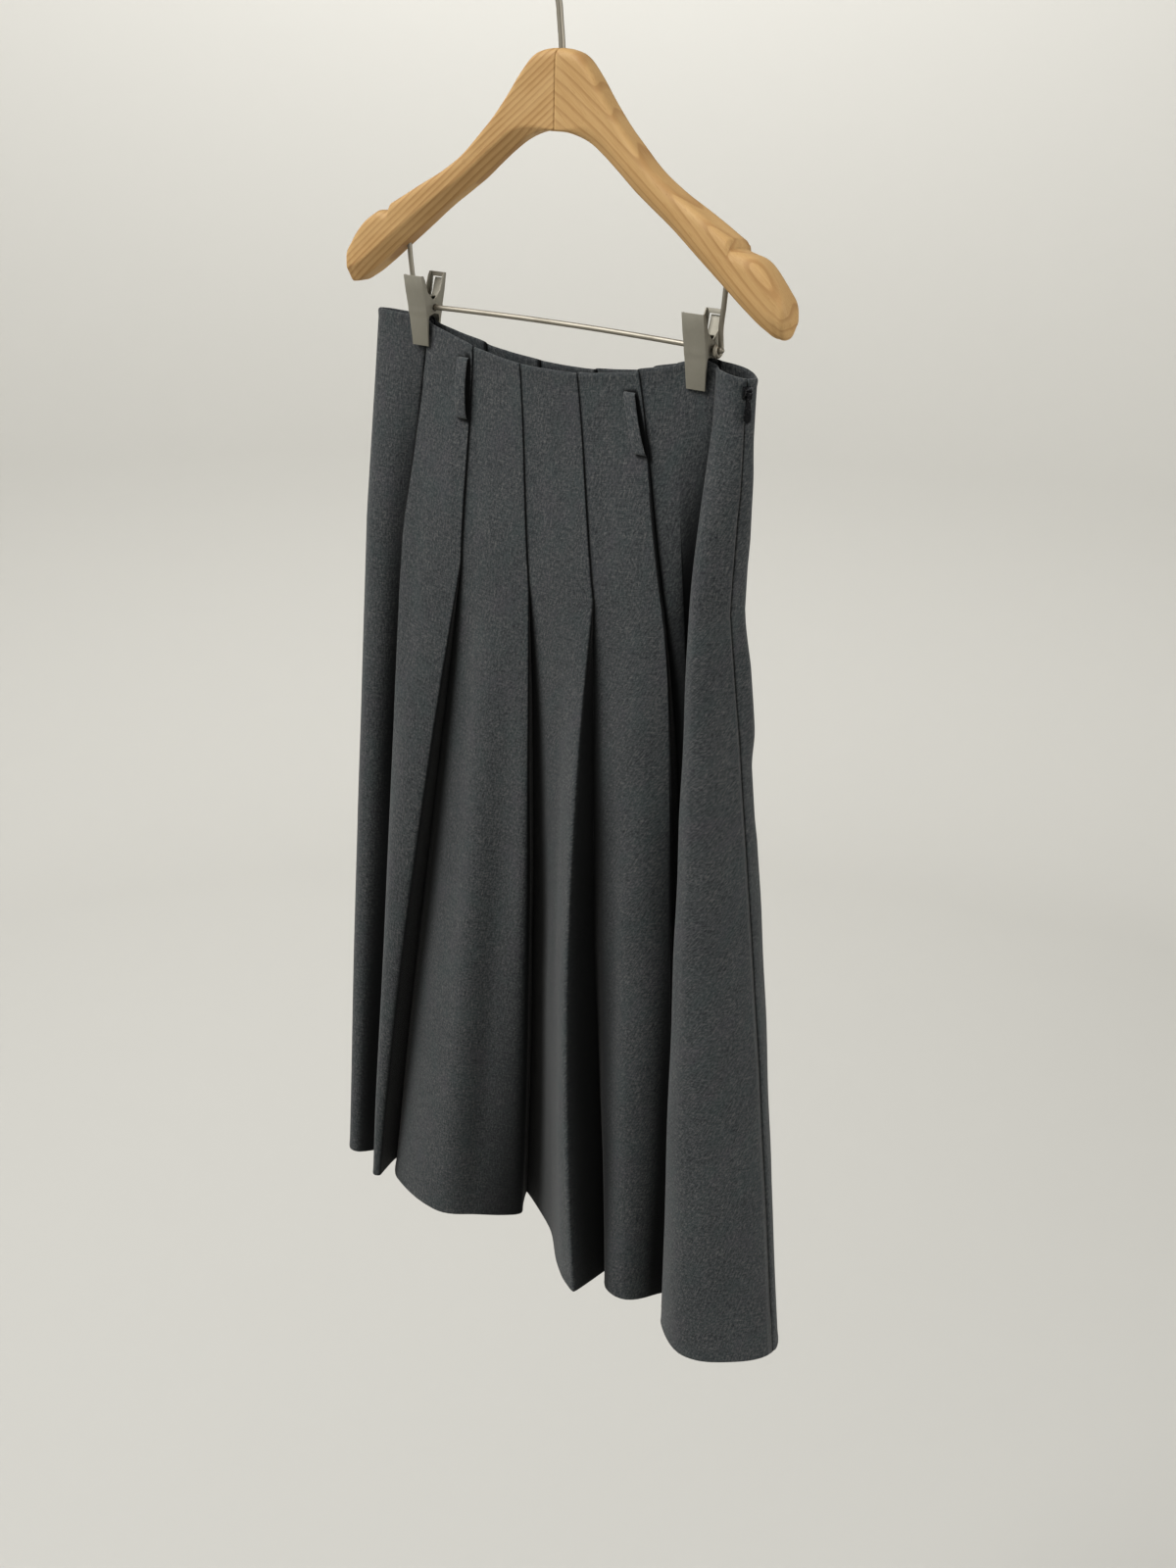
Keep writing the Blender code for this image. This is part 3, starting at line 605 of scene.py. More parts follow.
def loft(name: str, sections: np.ndarray, flat: np.ndarray | None = None) -> bpy.types.Object:
    """Closes rows of round sections into a solid, with a flat or shrunken cap at each end.

    Args:
        name: Name of the piece.
        sections: Rows of places round each section.
        flat: Their map places in metres, if the finish follows the surface.

    Returns:
        The object.
    """
    first, last = (np.broadcast_to(sections[end].mean(0), sections[:1].shape) for end in (0, -1))
    rows = closed(np.concatenate([first, sections, last]))
    plan = None if flat is None else closed(np.concatenate((flat[:1], flat, flat[-1:])))
    return draped_grid(name, rows, plan)


def rounded(sides: int, flat_across: float, flat_over: float) -> tuple[np.ndarray, np.ndarray]:
    """Places round a box with rounded corners.

    Args:
        sides: How many places.
        flat_across: Power that flattens its two ends, 1 for a circle and less for a box.
        flat_over: The same for its two faces.

    Returns:
        Places across and over, from -1 to 1.
    """
    turns = 2 * np.pi * np.arange(sides) / sides
    return (np.sign(np.cos(turns)) * abs(np.cos(turns)) ** flat_across,
            np.sign(np.sin(turns)) * abs(np.sin(turns)) ** flat_over)


def rod(name: str, path: Sequence[Sequence[float]], radius: float, sides: int = 20,
        step: float = 0.0012) -> bpy.types.Object:
    """A round wire with domed ends, along a smooth path through the given points.

    Args:
        name: Name of the piece.
        path: Points in order.
        radius: The wire's radius.
        sides: Places round it.
        step: Length between its rings.

    Returns:
        The object.
    """
    knots = np.array(path, float)
    runs = np.concatenate(([0], np.cumsum(np.linalg.norm(np.diff(knots, axis=0), axis=1))))
    at = np.linspace(0, runs[-1], max(int(runs[-1] / step), 8))
    line = np.stack([through(runs, knots[:, axis], at) for axis in range(3)], axis=1)
    heading = np.gradient(line, axis=0)
    heading /= np.linalg.norm(heading, axis=1)[:, None]
    across = Vector((0, 1, 0)) if abs(heading[0][1]) < 0.9 else Vector((1, 0, 0))
    rings = []
    turns = 2 * np.pi * np.arange(sides) / sides
    tip, quarter = 0.15, np.pi / 2
    domes = [(-math.cos(a), math.sin(a)) for a in np.linspace(tip, quarter, 5)[:-1]]
    stations = [(0, ahead, size) for ahead, size in domes]
    stations += [(index, 0, 1) for index in range(len(line))]
    stations += [(len(line) - 1, -ahead, size) for ahead, size in reversed(domes)]
    for index, ahead, size in stations:
        forward = Vector(heading[index])
        across = (across - forward * across.dot(forward)).normalized()
        other = forward.cross(across)
        middle = line[index] + heading[index] * ahead * radius
        spokes = np.outer(np.cos(turns), across) + np.outer(np.sin(turns), other)
        rings.append(middle + spokes * radius * size)
    return loft(name, np.array(rings))


def refined(node: str, name: str, bevel: float) -> bpy.types.Object:
    """A copy of a hard piece's solid with its doubles merged and its sharp edges rounded.

    Args:
        node: The solid's node, which the copy replaces.
        name: Name of the copy.
        bevel: Width of the rounding.

    Returns:
        The copy.
    """
    flat, sharp_from = math.radians(2), math.radians(30)
    work = bmesh.new()
    work.from_mesh(frame["nodes"][node].data)
    bmesh.ops.remove_doubles(work, verts=work.verts, dist=1e-6)
    bmesh.ops.dissolve_limit(work, angle_limit=flat, verts=work.verts, edges=work.edges)
    sharp = [e for e in work.edges if len(e.link_faces) == 2 and e.calc_face_angle(0) > sharp_from]
    bmesh.ops.bevel(work, geom=sharp, offset=bevel, segments=2, affect="EDGES",
                    profile=0.5, material=-1, clamp_overlap=True)
    bmesh.ops.triangulate(work, faces=work.faces)
    made = in_scene(name, work)
    made.data.set_sharp_from_angle(angle=math.radians(38))
    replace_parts(made, node)
    return made


def dress(obj: bpy.types.Object, finish: bpy.types.Material,
          body: str = HELD) -> bpy.types.Object:
    """Gives a piece its finish and the body that carries it.

    Args:
        obj: The piece.
        finish: Its material.
        body: The frame's body.

    Returns:
        The piece.
    """
    obj.data.materials.clear()
    obj.data.materials.append(finish)
    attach(obj, body)
    log.info("%s: %d faces on %s", obj.name, len(obj.data.polygons), body)
    return obj


# ---- the cloth


class Fold(NamedTuple):
    """A line that runs down the cloth, and its place in plan at four heights.

    Crests and valleys are pressed to a crease. The lines between them, in the panels, are round.
    """

    name: str
    waist_x: float
    waist_y: float
    hip_x: float
    hip_y: float
    knee_x: float
    knee_y: float
    hem_x: float
    hem_y: float

    @property
    def pressed(self) -> bool:
        """True for a crest or a valley."""
        return self.name.startswith(("crest", "valley"))


FOLDS = tuple(Fold(*row) for row in (
    ("side_left", -0.169, 0, -0.186, 0, -0.205, 0, -0.221, -0.006),
    ("left_round", -0.163, -0.003, -0.18, -0.01, -0.2, -0.013, -0.215, -0.019),
    ("left_panel", -0.14, -0.0035, -0.16, -0.012, -0.184, -0.014, -0.204, -0.018),
    ("valley_1", -0.1185, -0.0016, -0.1395, -0.0085, -0.159, 0.004, -0.184, 0.005),
    ("crest_1", -0.117, -0.0034, -0.137, -0.018, -0.154, -0.025, -0.172, -0.033),
    ("panel_12", -0.094, -0.0055, -0.106, -0.02, -0.141, -0.032, -0.1685, -0.0365),
    ("crest_2", -0.0715, -0.0088, -0.0755, -0.0195, -0.127, -0.028, -0.1645, -0.034),
    ("valley_2", -0.07, -0.0076, -0.074, -0.0175, -0.131, -0.004, -0.17, -0.004),
    ("left_23", -0.06, -0.0085, -0.066, -0.018, -0.116, -0.012, -0.149, -0.027),
    ("panel_23", -0.048, -0.0098, -0.043, -0.0205, -0.065, -0.029, -0.092, -0.041),
    ("right_23", -0.036, -0.0108, -0.024, -0.0205, -0.035, -0.024, -0.055, -0.026),
    ("crest_3", -0.0255, -0.0118, -0.009, -0.02, -0.012, -0.014, -0.028, 0.002),
    ("valley_3", -0.024, -0.0106, -0.0075, -0.0182, -0.023, 0.01, -0.041, 0.03),
    ("panel_34", 0, -0.0112, 0.022, -0.0205, 0.01, -0.01, 0.008, 0.001),
    ("right_34", 0.014, -0.0114, 0.038, -0.021, 0.034, -0.029, 0.046, -0.037),
    ("crest_4", 0.026, -0.012, 0.0515, -0.021, 0.05, -0.04, 0.075, -0.055),
    ("valley_4", 0.0275, -0.0108, 0.053, -0.019, 0.055, -0.009, 0.081, -0.01),
    ("left_45", 0.036, -0.0106, 0.061, -0.019, 0.071, -0.018, 0.094, -0.034),
    ("panel_45", 0.056, -0.0098, 0.087, -0.0205, 0.1, -0.027, 0.116, -0.036),
    ("crest_5", 0.0765, -0.0088, 0.1135, -0.0195, 0.135, -0.014, 0.137, -0.012),
    ("valley_5", 0.078, -0.0076, 0.115, -0.0178, 0.131, 0.006, 0.141, 0.004),
    ("crest_56", 0.105, -0.0042, 0.126, -0.014, 0.142, -0.01, 0.1465, -0.026),
    ("valley_6", 0.134, -0.0024, 0.134, -0.007, 0.149, 0.003, 0.155, -0.003),
    ("crest_6", 0.1405, -0.006, 0.138, -0.024, 0.146, -0.033, 0.156, -0.041),
    ("right_front", 0.148, -0.009, 0.147, -0.029, 0.164, -0.043, 0.187, -0.063),
    ("right_panel", 0.156, -0.0095, 0.156, -0.023, 0.183, -0.033, 0.218, -0.053),
    ("side_right", 0.163, -0.0065, 0.1625, -0.009, 0.198, 0.002, 0.247, -0.016),
    ("right_turn", 0.1655, 0.0015, 0.165, 0.004, 0.195, 0.019, 0.232, 0.014),
    ("right_back", 0.154, 0.0085, 0.156, 0.015, 0.184, 0.03, 0.209, 0.034),
    ("crest_f", 0.1355, 0.0036, 0.134, 0.0195, 0.15, 0.041, 0.174, 0.054),
    ("valley_f", 0.134, 0.0026, 0.1325, 0.018, 0.156, 0.023, 0.183, 0.027),
    ("panel_ef", 0.106, 0.0046, 0.106, 0.0205, 0.127, 0.04, 0.147, 0.052),
    ("crest_e", 0.0775, 0.009, 0.0815, 0.021, 0.091, 0.043, 0.104, 0.062),
    ("valley_e", 0.076, 0.0079, 0.08, 0.0195, 0.099, 0.024, 0.116, 0.031),
    ("panel_de", 0.051, 0.01, 0.054, 0.022, 0.061, 0.045, 0.071, 0.065),
    ("crest_d", 0.0265, 0.012, 0.0275, 0.022, 0.023, 0.049, 0.029, 0.075),
    ("valley_d", 0.025, 0.0108, 0.026, 0.0204, 0.033, 0.025, 0.044, 0.034),
    ("panel_cd", 0, 0.0115, 0, 0.0225, -0.004, 0.049, 0.004, 0.078),
    ("crest_c", -0.0245, 0.012, -0.025, 0.022, -0.042, 0.049, -0.045, 0.076),
    ("valley_c", -0.026, 0.0108, -0.0265, 0.0204, -0.032, 0.03, -0.03, 0.046),
    ("panel_bc", -0.05, 0.01, -0.054, 0.022, -0.068, 0.044, -0.08, 0.066),
    ("crest_b", -0.0725, 0.0088, -0.0785, 0.021, -0.102, 0.043, -0.121, 0.062),
    ("valley_b", -0.074, 0.0076, -0.08, 0.0194, -0.092, 0.022, -0.105, 0.026),
    ("panel_ab", -0.096, 0.0055, -0.106, 0.021, -0.13, 0.036, -0.146, 0.047),
    ("crest_a", -0.118, 0.0034, -0.133, 0.018, -0.166, 0.036, -0.188, 0.048),
    ("valley_a", -0.1195, 0.0024, -0.1345, 0.0162, -0.16, 0.02, -0.18, 0.025),
    ("left_back", -0.156, 0.004, -0.171, 0.0115, -0.192, 0.019, -0.207, 0.025),
))
FOLD_NAMES = [fold.name for fold in FOLDS]
TUCKS = {f"valley_{tag}": f"crest_{tag}" for tag in "23456abcdef"}


class SoftCrease(NamedTuple):
    """A soft trough or ridge that drifts across a panel as it runs down."""

    after: str
    share: float
    drift: float
    top: float
    bottom: float
    depth: float
    half_width: float


SOFT_CREASES = tuple(SoftCrease(*row) for row in (
    ("side_left", 0.7, 0.2, 0.02, 0.55, -0.0009, 0.007),
    ("left_round", 0.45, 0.15, 0.1, 1.1, 0.0008, 0.009),
    ("left_panel", 0.4, -0.1, 0.25, 1.05, -0.001, 0.008),
    ("left_panel", 0.64, 0.08, -0.02, 0.64, -0.005, 0.013),
    ("left_panel", 0.96, 0, -0.3, 0.34, -0.0022, 0.0014),
    ("crest_1", 0.55, 0.1, 0.05, 0.4, -0.0012, 0.01),
    ("crest_1", 0.62, -0.2, 0.38, 1.1, 0.0007, 0.006),
    ("panel_12", 0.35, 0.1, 0.02, 0.22, 0.0009, 0.007),
    ("valley_2", 0.7, 0.3, 0.03, 0.21, -0.0008, 0.008),
    ("left_23", 0.3, 0.55, 0.2, 0.8, -0.0014, 0.013),
    ("panel_23", 0.05, 0.25, 0.42, 1.1, 0.0013, 0.014),
    ("panel_23", 0.9, 0.1, 0.26, 1.12, -0.0052, 0.017),
    ("right_23", 0.8, 0.05, 0.3, 1.15, 0.003, 0.008),
    ("right_23", 0.45, 0.1, 0.55, 1.1, 0.001, 0.009),
    ("valley_3", 0.55, 0.05, 0.02, 0.2, -0.0009, 0.009),
    ("panel_34", 0.3, 0.3, 0.22, 0.75, -0.0013, 0.011),
    ("right_34", 0.45, -0.1, 0.5, 1.1, 0.0011, 0.009),
    ("right_34", 0.2, 0.05, 0.04, 0.18, 0.0007, 0.006),
    ("left_45", 0.2, 0.1, 0.03, 0.19, -0.001, 0.008),
    ("left_45", 0.5, -0.15, 0.35, 1, -0.0014, 0.01),
    ("panel_45", 0.35, 0.15, 0.25, 0.9, 0.0012, 0.01),
    ("panel_45", 0.7, 0.05, 0.06, 0.3, -0.0009, 0.008),
    ("panel_45", 0.72, 0.1, 0.24, 1.12, -0.0055, 0.016),
    ("crest_56", 0.5, 0.1, 0.03, 0.6, -0.0048, 0.01),
    ("valley_5", 0.45, 0.05, 0.03, 0.24, -0.0012, 0.009),
    ("crest_6", 0.55, 0.05, 0.1, 0.75, -0.0007, 0.006),
    ("right_front", 0.5, 0.1, 0.3, 1.1, 0.0008, 0.012),
    ("right_panel", 0.45, -0.05, 0.14, 0.5, -0.0012, 0.009),
    ("right_panel", 0.7, 0.05, 0.45, 1.1, 0.0009, 0.014),
    ("right_panel", 0.8, 0.05, 0.02, 0.13, 0.0013, 0.006),
    ("right_front", 0.7, 0.2, 0.11, 0.27, -0.0013, 0.01),
    ("side_right", 0.6, 0.1, 0.05, 0.18, 0.0019, 0.007),
    ("side_right", 0.55, 0.1, 0.16, 0.27, -0.0015, 0.006),
    ("right_turn", 0.1, -0.1, 0.22, 0.37, 0.0025, 0.009),
    ("right_turn", 0.5, 0.1, 0.33, 0.45, -0.0016, 0.008),
    ("right_turn", 0.4, 0.1, 0.4, 0.95, 0.001, 0.01),
    ("right_back", 0.5, -0.1, 0.25, 1.1, 0.0009, 0.01),
    ("valley_f", 0.5, 0.1, 0.05, 0.35, -0.0011, 0.009),
    ("panel_ef", 0.4, 0.2, 0.3, 1, 0.0012, 0.011),
    ("valley_e", 0.45, 0.1, 0.2, 0.8, -0.0013, 0.011),
    ("panel_de", 0.4, -0.15, 0.4, 1.1, 0.001, 0.01),
    ("panel_de", 0.65, 0.05, 0.03, 0.2, -0.0009, 0.007),
    ("valley_d", 0.5, 0.2, 0.25, 0.95, -0.0012, 0.012),
    ("panel_cd", 0.55, -0.1, 0.5, 1.1, 0.0013, 0.012),
    ("valley_c", 0.45, 0.05, 0.03, 0.22, -0.001, 0.008),
    ("panel_bc", 0.2, 0.2, 0.28, 0.9, -0.0012, 0.011),
    ("panel_bc", 0.6, 0, 0.55, 1.1, 0.001, 0.009),
    ("valley_b", 0.55, 0.1, 0.1, 0.6, -0.0011, 0.01),
    ("panel_ab", 0.35, 0.15, 0.35, 1.1, 0.0011, 0.01),
    ("valley_a", 0.5, 0.05, 0.04, 0.45, -0.001, 0.009),
    ("left_back", 0.4, 0.1, 0.3, 1.1, 0.0009, 0.008),
))


@dataclass(frozen=True)
class PleatedCloth:
    """The ring of cloth that both shells are cut from."""

    face: float = 0.0008
    lining_side: float = 0.0004
    edge_below_bar: float = 0.0065
    front_sag: float = 0.0220
    back_sag: float = 0.0225
    left_rise: float = 0.0015
    right_droop: float = 0.0080
    front_droop_power: float = 0.8
    back_droop_power: float = 2.2
    crease_reach: float = 0.0055
    reach_at_waist: float = 0.55
    reach_added: float = 0.9
    crease_steps: int = 12
    bend_steps: int = 8
    step_power: float = 1.8
    tuck: float = 0.0024
    tuck_until: float = 0.20
    tuck_fade: float = 0.16
    crease_fade_in: float = 0.35
    crease_fade_out: float = 0.3
    ripple: float = 0.00035
    room_step: int = 4
    room_reach: float = 0.1
    edge_round: float = 0.0012
    waist_roll: float = 0.0005
    hem_roll: float = 0.0003
    hem_turn: float = 0.0007
    hem_depth: float = 0.037
    seam_gap: float = 0.00005
    seam_pinch: float = 0.002

    def edge_height(self, waist_x: np.ndarray, facing: Facing) -> np.ndarray:
        """Height of the waist's top edge, which hangs between the clips and droops at the right.

        Args:
            waist_x: Places along the waist.
            facing: Which half's edge.

        Returns:
            Its heights.
        """
        level = BAR_Z - self.edge_below_bar
        front = facing is Facing.FRONT
        sag = self.front_sag if front else self.back_sag
        power = self.front_droop_power if front else self.back_droop_power
        left = np.clip((CLIP_LEFT_X - waist_x) / (CLIP_LEFT_X - WAIST_LEFT_X), 0, None)
        past = np.clip((waist_x - CLIP_RIGHT_X) / (SEAM_RIGHT_X - CLIP_RIGHT_X), 0, 1)
        across = (2 * waist_x - CLIP_LEFT_X - CLIP_RIGHT_X) / (CLIP_RIGHT_X - CLIP_LEFT_X)
        hanging = sag * np.clip(1 - across**2, 0, None)
        return level + self.left_rise * left - self.right_droop * past**power - hanging

    def in_plan(self, fold: Fold, level: float) -> np.ndarray:
        """Where a fold is in plan at a level.

        Args:
            fold: The fold line.
            level: From 0 at the waist to 1 at the hem.

        Returns:
            Its X and Y.
        """
        waist = np.array((fold.waist_x, fold.waist_y))
        hip = np.array((fold.hip_x, fold.hip_y))
        knee = np.array((fold.knee_x, fold.knee_y))
        hem = np.array((fold.hem_x, fold.hem_y))
        if level <= HIP_LEVEL:
            part = level / HIP_LEVEL
            place = waist + (hip - waist) * np.array((part, smooth(part)))
        else:
            part = (level - HIP_LEVEL) / (1 - HIP_LEVEL)
            place = (hip * (1 - part) * (1 - 2 * part) + knee * 4 * part * (1 - part)
                     + hem * part * (2 * part - 1))
        if fold.name in TUCKS:
            over = FOLDS[FOLD_NAMES.index(TUCKS[fold.name])]
            fade = 1 - smooth((level - self.tuck_until) / self.tuck_fade)
            under = math.copysign(self.tuck, over.waist_x - fold.waist_x)
            place = place + np.array((under, 0)) * fade
        return place

    def steps(self, first: Fold, second: Fold) -> np.ndarray:
        """Parts of the way between two folds, closer together beside a pressed one.

        Args:
            first: The fold that the parts start from.
            second: The next one.

        Returns:
            Numbers from 0 to below 1.
        """
        pressed = (first.pressed, second.pressed)
        count = self.crease_steps if any(pressed) else self.bend_steps
        run = np.arange(count) / count
        if all(pressed):
            return (1 - np.cos(np.pi * run)) / 2
        if pressed[0]:
            return run**self.step_power
        return 1 - (1 - run) ** self.step_power if pressed[1] else run

    def ring(self, level: float) -> tuple[np.ndarray, np.ndarray, np.ndarray, np.ndarray]:
        """The middle line of the cloth at one level.

        Args:
            level: From 0 at the waist to 1 at the hem.

        Returns:
            Points, outward normals, places along the waist, and fold numbers with the part of
            the way to the next fold.
        """
        places = np.array([self.in_plan(fold, level) for fold in FOLDS])
        span = np.roll(places, -1, 0) - np.roll(places, 1, 0)
        tangents = span / np.linalg.norm(span, axis=1)[:, None]
        grown = smooth((level - 0.15) / 0.6)
        soften = self.crease_reach * (self.reach_at_waist + self.reach_added * grown)
        points, normals, waists, numbers = [], [], [], []
        for index, fold in enumerate(FOLDS):
            after = (index + 1) % len(FOLDS)
            start, end = places[index], places[after]
            length = float(np.linalg.norm(end - start))
            out, back = (tangents[at] * (min(length, soften) if FOLDS[at].pressed else length)
                         for at in (index, after))
            u = self.steps(fold, FOLDS[after])[:, None]
            points.append(start * (2 * u**3 - 3 * u**2 + 1) + out * (u**3 - 2 * u**2 + u)
                          + end * (3 * u**2 - 2 * u**3) + back * (u**3 - u**2))
            slope = (start * (6 * u**2 - 6 * u) + out * (3 * u**2 - 4 * u + 1)
                     + end * (6 * u - 6 * u**2) + back * (3 * u**2 - 2 * u))
            slope /= np.linalg.norm(slope, axis=1)[:, None]
            normals.append(np.stack((slope[:, 1], -slope[:, 0]), axis=1))
            waists.append(fold.waist_x + (FOLDS[after].waist_x - fold.waist_x) * u[:, 0])
            numbers.append(index + u[:, 0])
        return tuple(np.concatenate(part) for part in (points, normals, waists, numbers))

    def relief(self, level: float, along: np.ndarray, numbers: np.ndarray) -> np.ndarray:
        """How far the soft creases move the cloth out at one level.

        Args:
            level: From 0 at the waist to 1 at the hem.
            along: Lengths along the ring.
            numbers: Fold numbers there.

        Returns:
            Distances along the normals.
        """
        out = np.zeros(len(along))
        for crease in SOFT_CREASES:
            part = (level - crease.top) / (crease.bottom - crease.top)
            if not 0 < part < 1:
                continue
            number = FOLD_NAMES.index(crease.after) + crease.share + crease.drift * part
            centre = np.interp(number, numbers, along)
            fade = smooth(part / self.crease_fade_in) * smooth((1 - part) / self.crease_fade_out)
            out += crease.depth * fade * np.exp(-((along - centre) / crease.half_width) ** 2)
        short, long = np.sin(along * 61 + level * 7), np.sin(along * 23 - level * 11 + 1)
        return out + short * long * self.ripple * smooth(level / 0.2)

    def surface(self, level: float) -> tuple[np.ndarray, ...]:
        """The ring with its soft creases, closed.

        Args:
            level: From 0 at the waist to 1 at the hem.

        Returns:
            Points, outward normals, places along the waist, fold numbers and lengths along the
            ring, with the first place repeated at the end.
        """
        points, normals, waists, numbers = self.ring(level)
        points = np.concatenate((points, points[:1]))
        normals = np.concatenate((normals, normals[:1]))
        waists = np.append(waists, waists[0])
        numbers = np.append(numbers, len(FOLDS))
        along = np.concatenate(([0], np.cumsum(np.linalg.norm(np.diff(points, axis=0), axis=1))))
        points = points + normals * self.relief(level, along, numbers)[:, None]
        return points, normals, waists, numbers, along

    def openness(self, points: np.ndarray, normals: np.ndarray) -> np.ndarray:
        """Share of the room before each point of a level that its neighbouring folds leave open.

        Args:
            points: The ring's points.
            normals: Their outward normals.

        Returns:
            Shares from 0 to 1.
        """
        count = len(points)
        away = points[None] - points[:, None]
        ahead = (away * np.stack((-normals[:, 1], normals[:, 0]), axis=1)[:, None]).sum(2)
        outward = (away * normals[:, None]).sum(2)
        angle = np.arctan2(ahead, outward)
        later = (np.arange(count)[None] - np.arange(count)[:, None]) % count / count
        rises = outward > 1e-6
        near_after = rises & (later > 0) & (later < self.room_reach)
        near_before = rises & (later > 1 - self.room_reach)
        after = np.where(near_after, angle, np.pi / 2).min(1)
        before = np.where(near_before, -angle, np.pi / 2).min(1)
        return np.clip((np.sin(after) + np.sin(before)) / 2, 0, 1)

    def room(self, levels: np.ndarray) -> np.ndarray:
        """The open share of every column at every level, worked out at some and blended between. It sets
        the painted shade in the suiting's colour.

        Args:
            levels: The shell's levels.

        Returns:
            A row of shares for each level.
        """
        picked = np.unique(np.append(np.arange(0, len(levels), self.room_step), len(levels) - 1))
        known = []
        for level in levels[picked]:
            points, normals, _, _, _ = self.surface(level)
            share = self.openness(points[:-1], normals[:-1])
            known.append(np.append(share, share[0]))
        known = np.array(known)
        at = np.interp(np.arange(len(levels)), picked, np.arange(len(picked)))
        low = np.minimum(at.astype(int), len(picked) - 2)
        part = (at - low)[:, None]
        return known[low] * (1 - part) + known[low + 1] * part

    def levels(self) -> np.ndarray:
        """Levels of the shell's rows, close together at the waist edge and the hem.

        Returns:
            Numbers from 0 to 1.
        """
        top = (0, 0.0005, 0.0012, 0.0024, 0.0045, 0.008, 0.013, 0.019)
        end = (0.9935, 0.9965, 0.9982, 0.9993, 1)
        return np.concatenate((top, np.linspace(0.025, 0.989, 150), end))

    def shell(self, name: str, facing: Facing,
              loops: Sequence["BeltLoop"]) -> tuple[bpy.types.Object, float]:
        """The front or back as a closed shell.

        Args:
            name: Name of the piece.
            facing: Which half to cut from the ring.
            loops: The belt loops that lie on it, whose painted shade darkens the cloth under and beside
                them.

        Returns:
            The piece, and the area of its outer face.
        """
        outer, inner, maps, unshaded_shares = [], [], [], []
        levels = self.levels()
        split = FOLD_NAMES.index("side_right")
        for level, share in zip(levels, self.room(levels)):
            points, normals, waists, numbers, along = self.surface(level)
            half = numbers <= split if facing is Facing.FRONT else numbers >= split
            points, normals, waists, along = (a[half] for a in (points, normals, waists, along))
            tops = self.edge_height(waists, facing)
            down = (tops - HEM_Z) * level
            heights = tops - down
            start, end = along - along[0], along[-1] - along
            tangent = np.stack((-normals[:, 1], normals[:, 0]), axis=1)
            gap = (np.clip(1 - start / self.seam_pinch, 0, 1)
                   - np.clip(1 - end / self.seam_pinch, 0, 1))
            points = points + tangent * (gap * self.seam_gap / 2)[:, None]
            walls = self.walls(down, (tops - HEM_Z) * (1 - level), np.minimum(start, end))
            for side, wall in zip((outer, inner), walls):
                side.append(np.column_stack((points + normals * wall[:, None], heights)))
            maps.append(np.column_stack((along, -down)))
            # Painted shade: the belt loops lower the open share, and so darken the suiting's colour,
            # under and beside them.
            loop_shades = [loop.painted_shade_share(self, points[:, 0], heights) for loop in loops]
            unshaded_shares.append(share[half] * (1 - np.max(loop_shades, axis=0)))
        grid, plan, shares = (np.concatenate((np.array(there), np.array(back)[-2::-1]))
                              for there, back in ((outer, inner), (maps, maps), (unshaded_shares, unshaded_shares)))
        made = draped_grid(name, grid, plan, {"open_share": shares}, thin=True)
        return made, self.area(np.array(outer))

    def walls(self, down: np.ndarray, up: np.ndarray,
              ends: np.ndarray) -> tuple[np.ndarray, np.ndarray]:
        """How far the two faces of the cloth stand off its middle line at places of one level.

        The waist's edge is rolled, the hem is turned in, and both close round every border.

        Args:
            down: Lengths below the waist's edge.
            up: Lengths above the hem.
            ends: Lengths from the nearer side seam.

        Returns:
            The outer face's distances, and the inner one's, which are negative.
        """
        shut = np.clip(np.minimum(np.minimum(down, up), ends) / self.edge_round, 0, 1)
        shut = np.sqrt(1 - (1 - shut) ** 2)
        rolled = (self.waist_roll * np.exp(-((down - 0.0025) / 0.0022) ** 2)
                  + self.hem_roll * np.exp(-((up - 0.002) / 0.003) ** 2))
        turned = self.hem_turn * smooth((self.hem_depth - up) / 0.004)
        return (self.face + rolled) * shut, (-self.lining_side - rolled - turned) * shut

    def area(self, rows: np.ndarray) -> float:
        """Area of a sheet.

        Args:
            rows: Rows of points.

        Returns:
            Square metres.
        """
        across = rows[:-1, 1:] - rows[:-1, :-1]
        down = rows[1:, :-1] - rows[:-1, :-1]
        return float(np.linalg.norm(np.cross(across, down), axis=2).sum())

    def outer_face(self, x: float, height: float, facing: Facing, spread: float) -> float:
        """How far the cloth stands out over a strip at one height.

        Args:
            x: The strip's middle.
            height: Its height.
            facing: Which half it lies on.
            spread: Half its width.

        Returns:
            The Y of the cloth's highest place under it.
        """
        top = float(self.edge_height(np.array(x), facing))
        level = min(max((top - height) / (top - HEM_Z), 0), 1)
        points, normals, _, _, _ = self.surface(level)
        faces = points + normals * self.face
        near = faces[(abs(faces[:, 0] - x) < spread) & (faces[:, 1] * facing.value > 0)]
        return float(near[:, 1].max() if facing is Facing.BACK else near[:, 1].min())


# ---- belt loops and zip


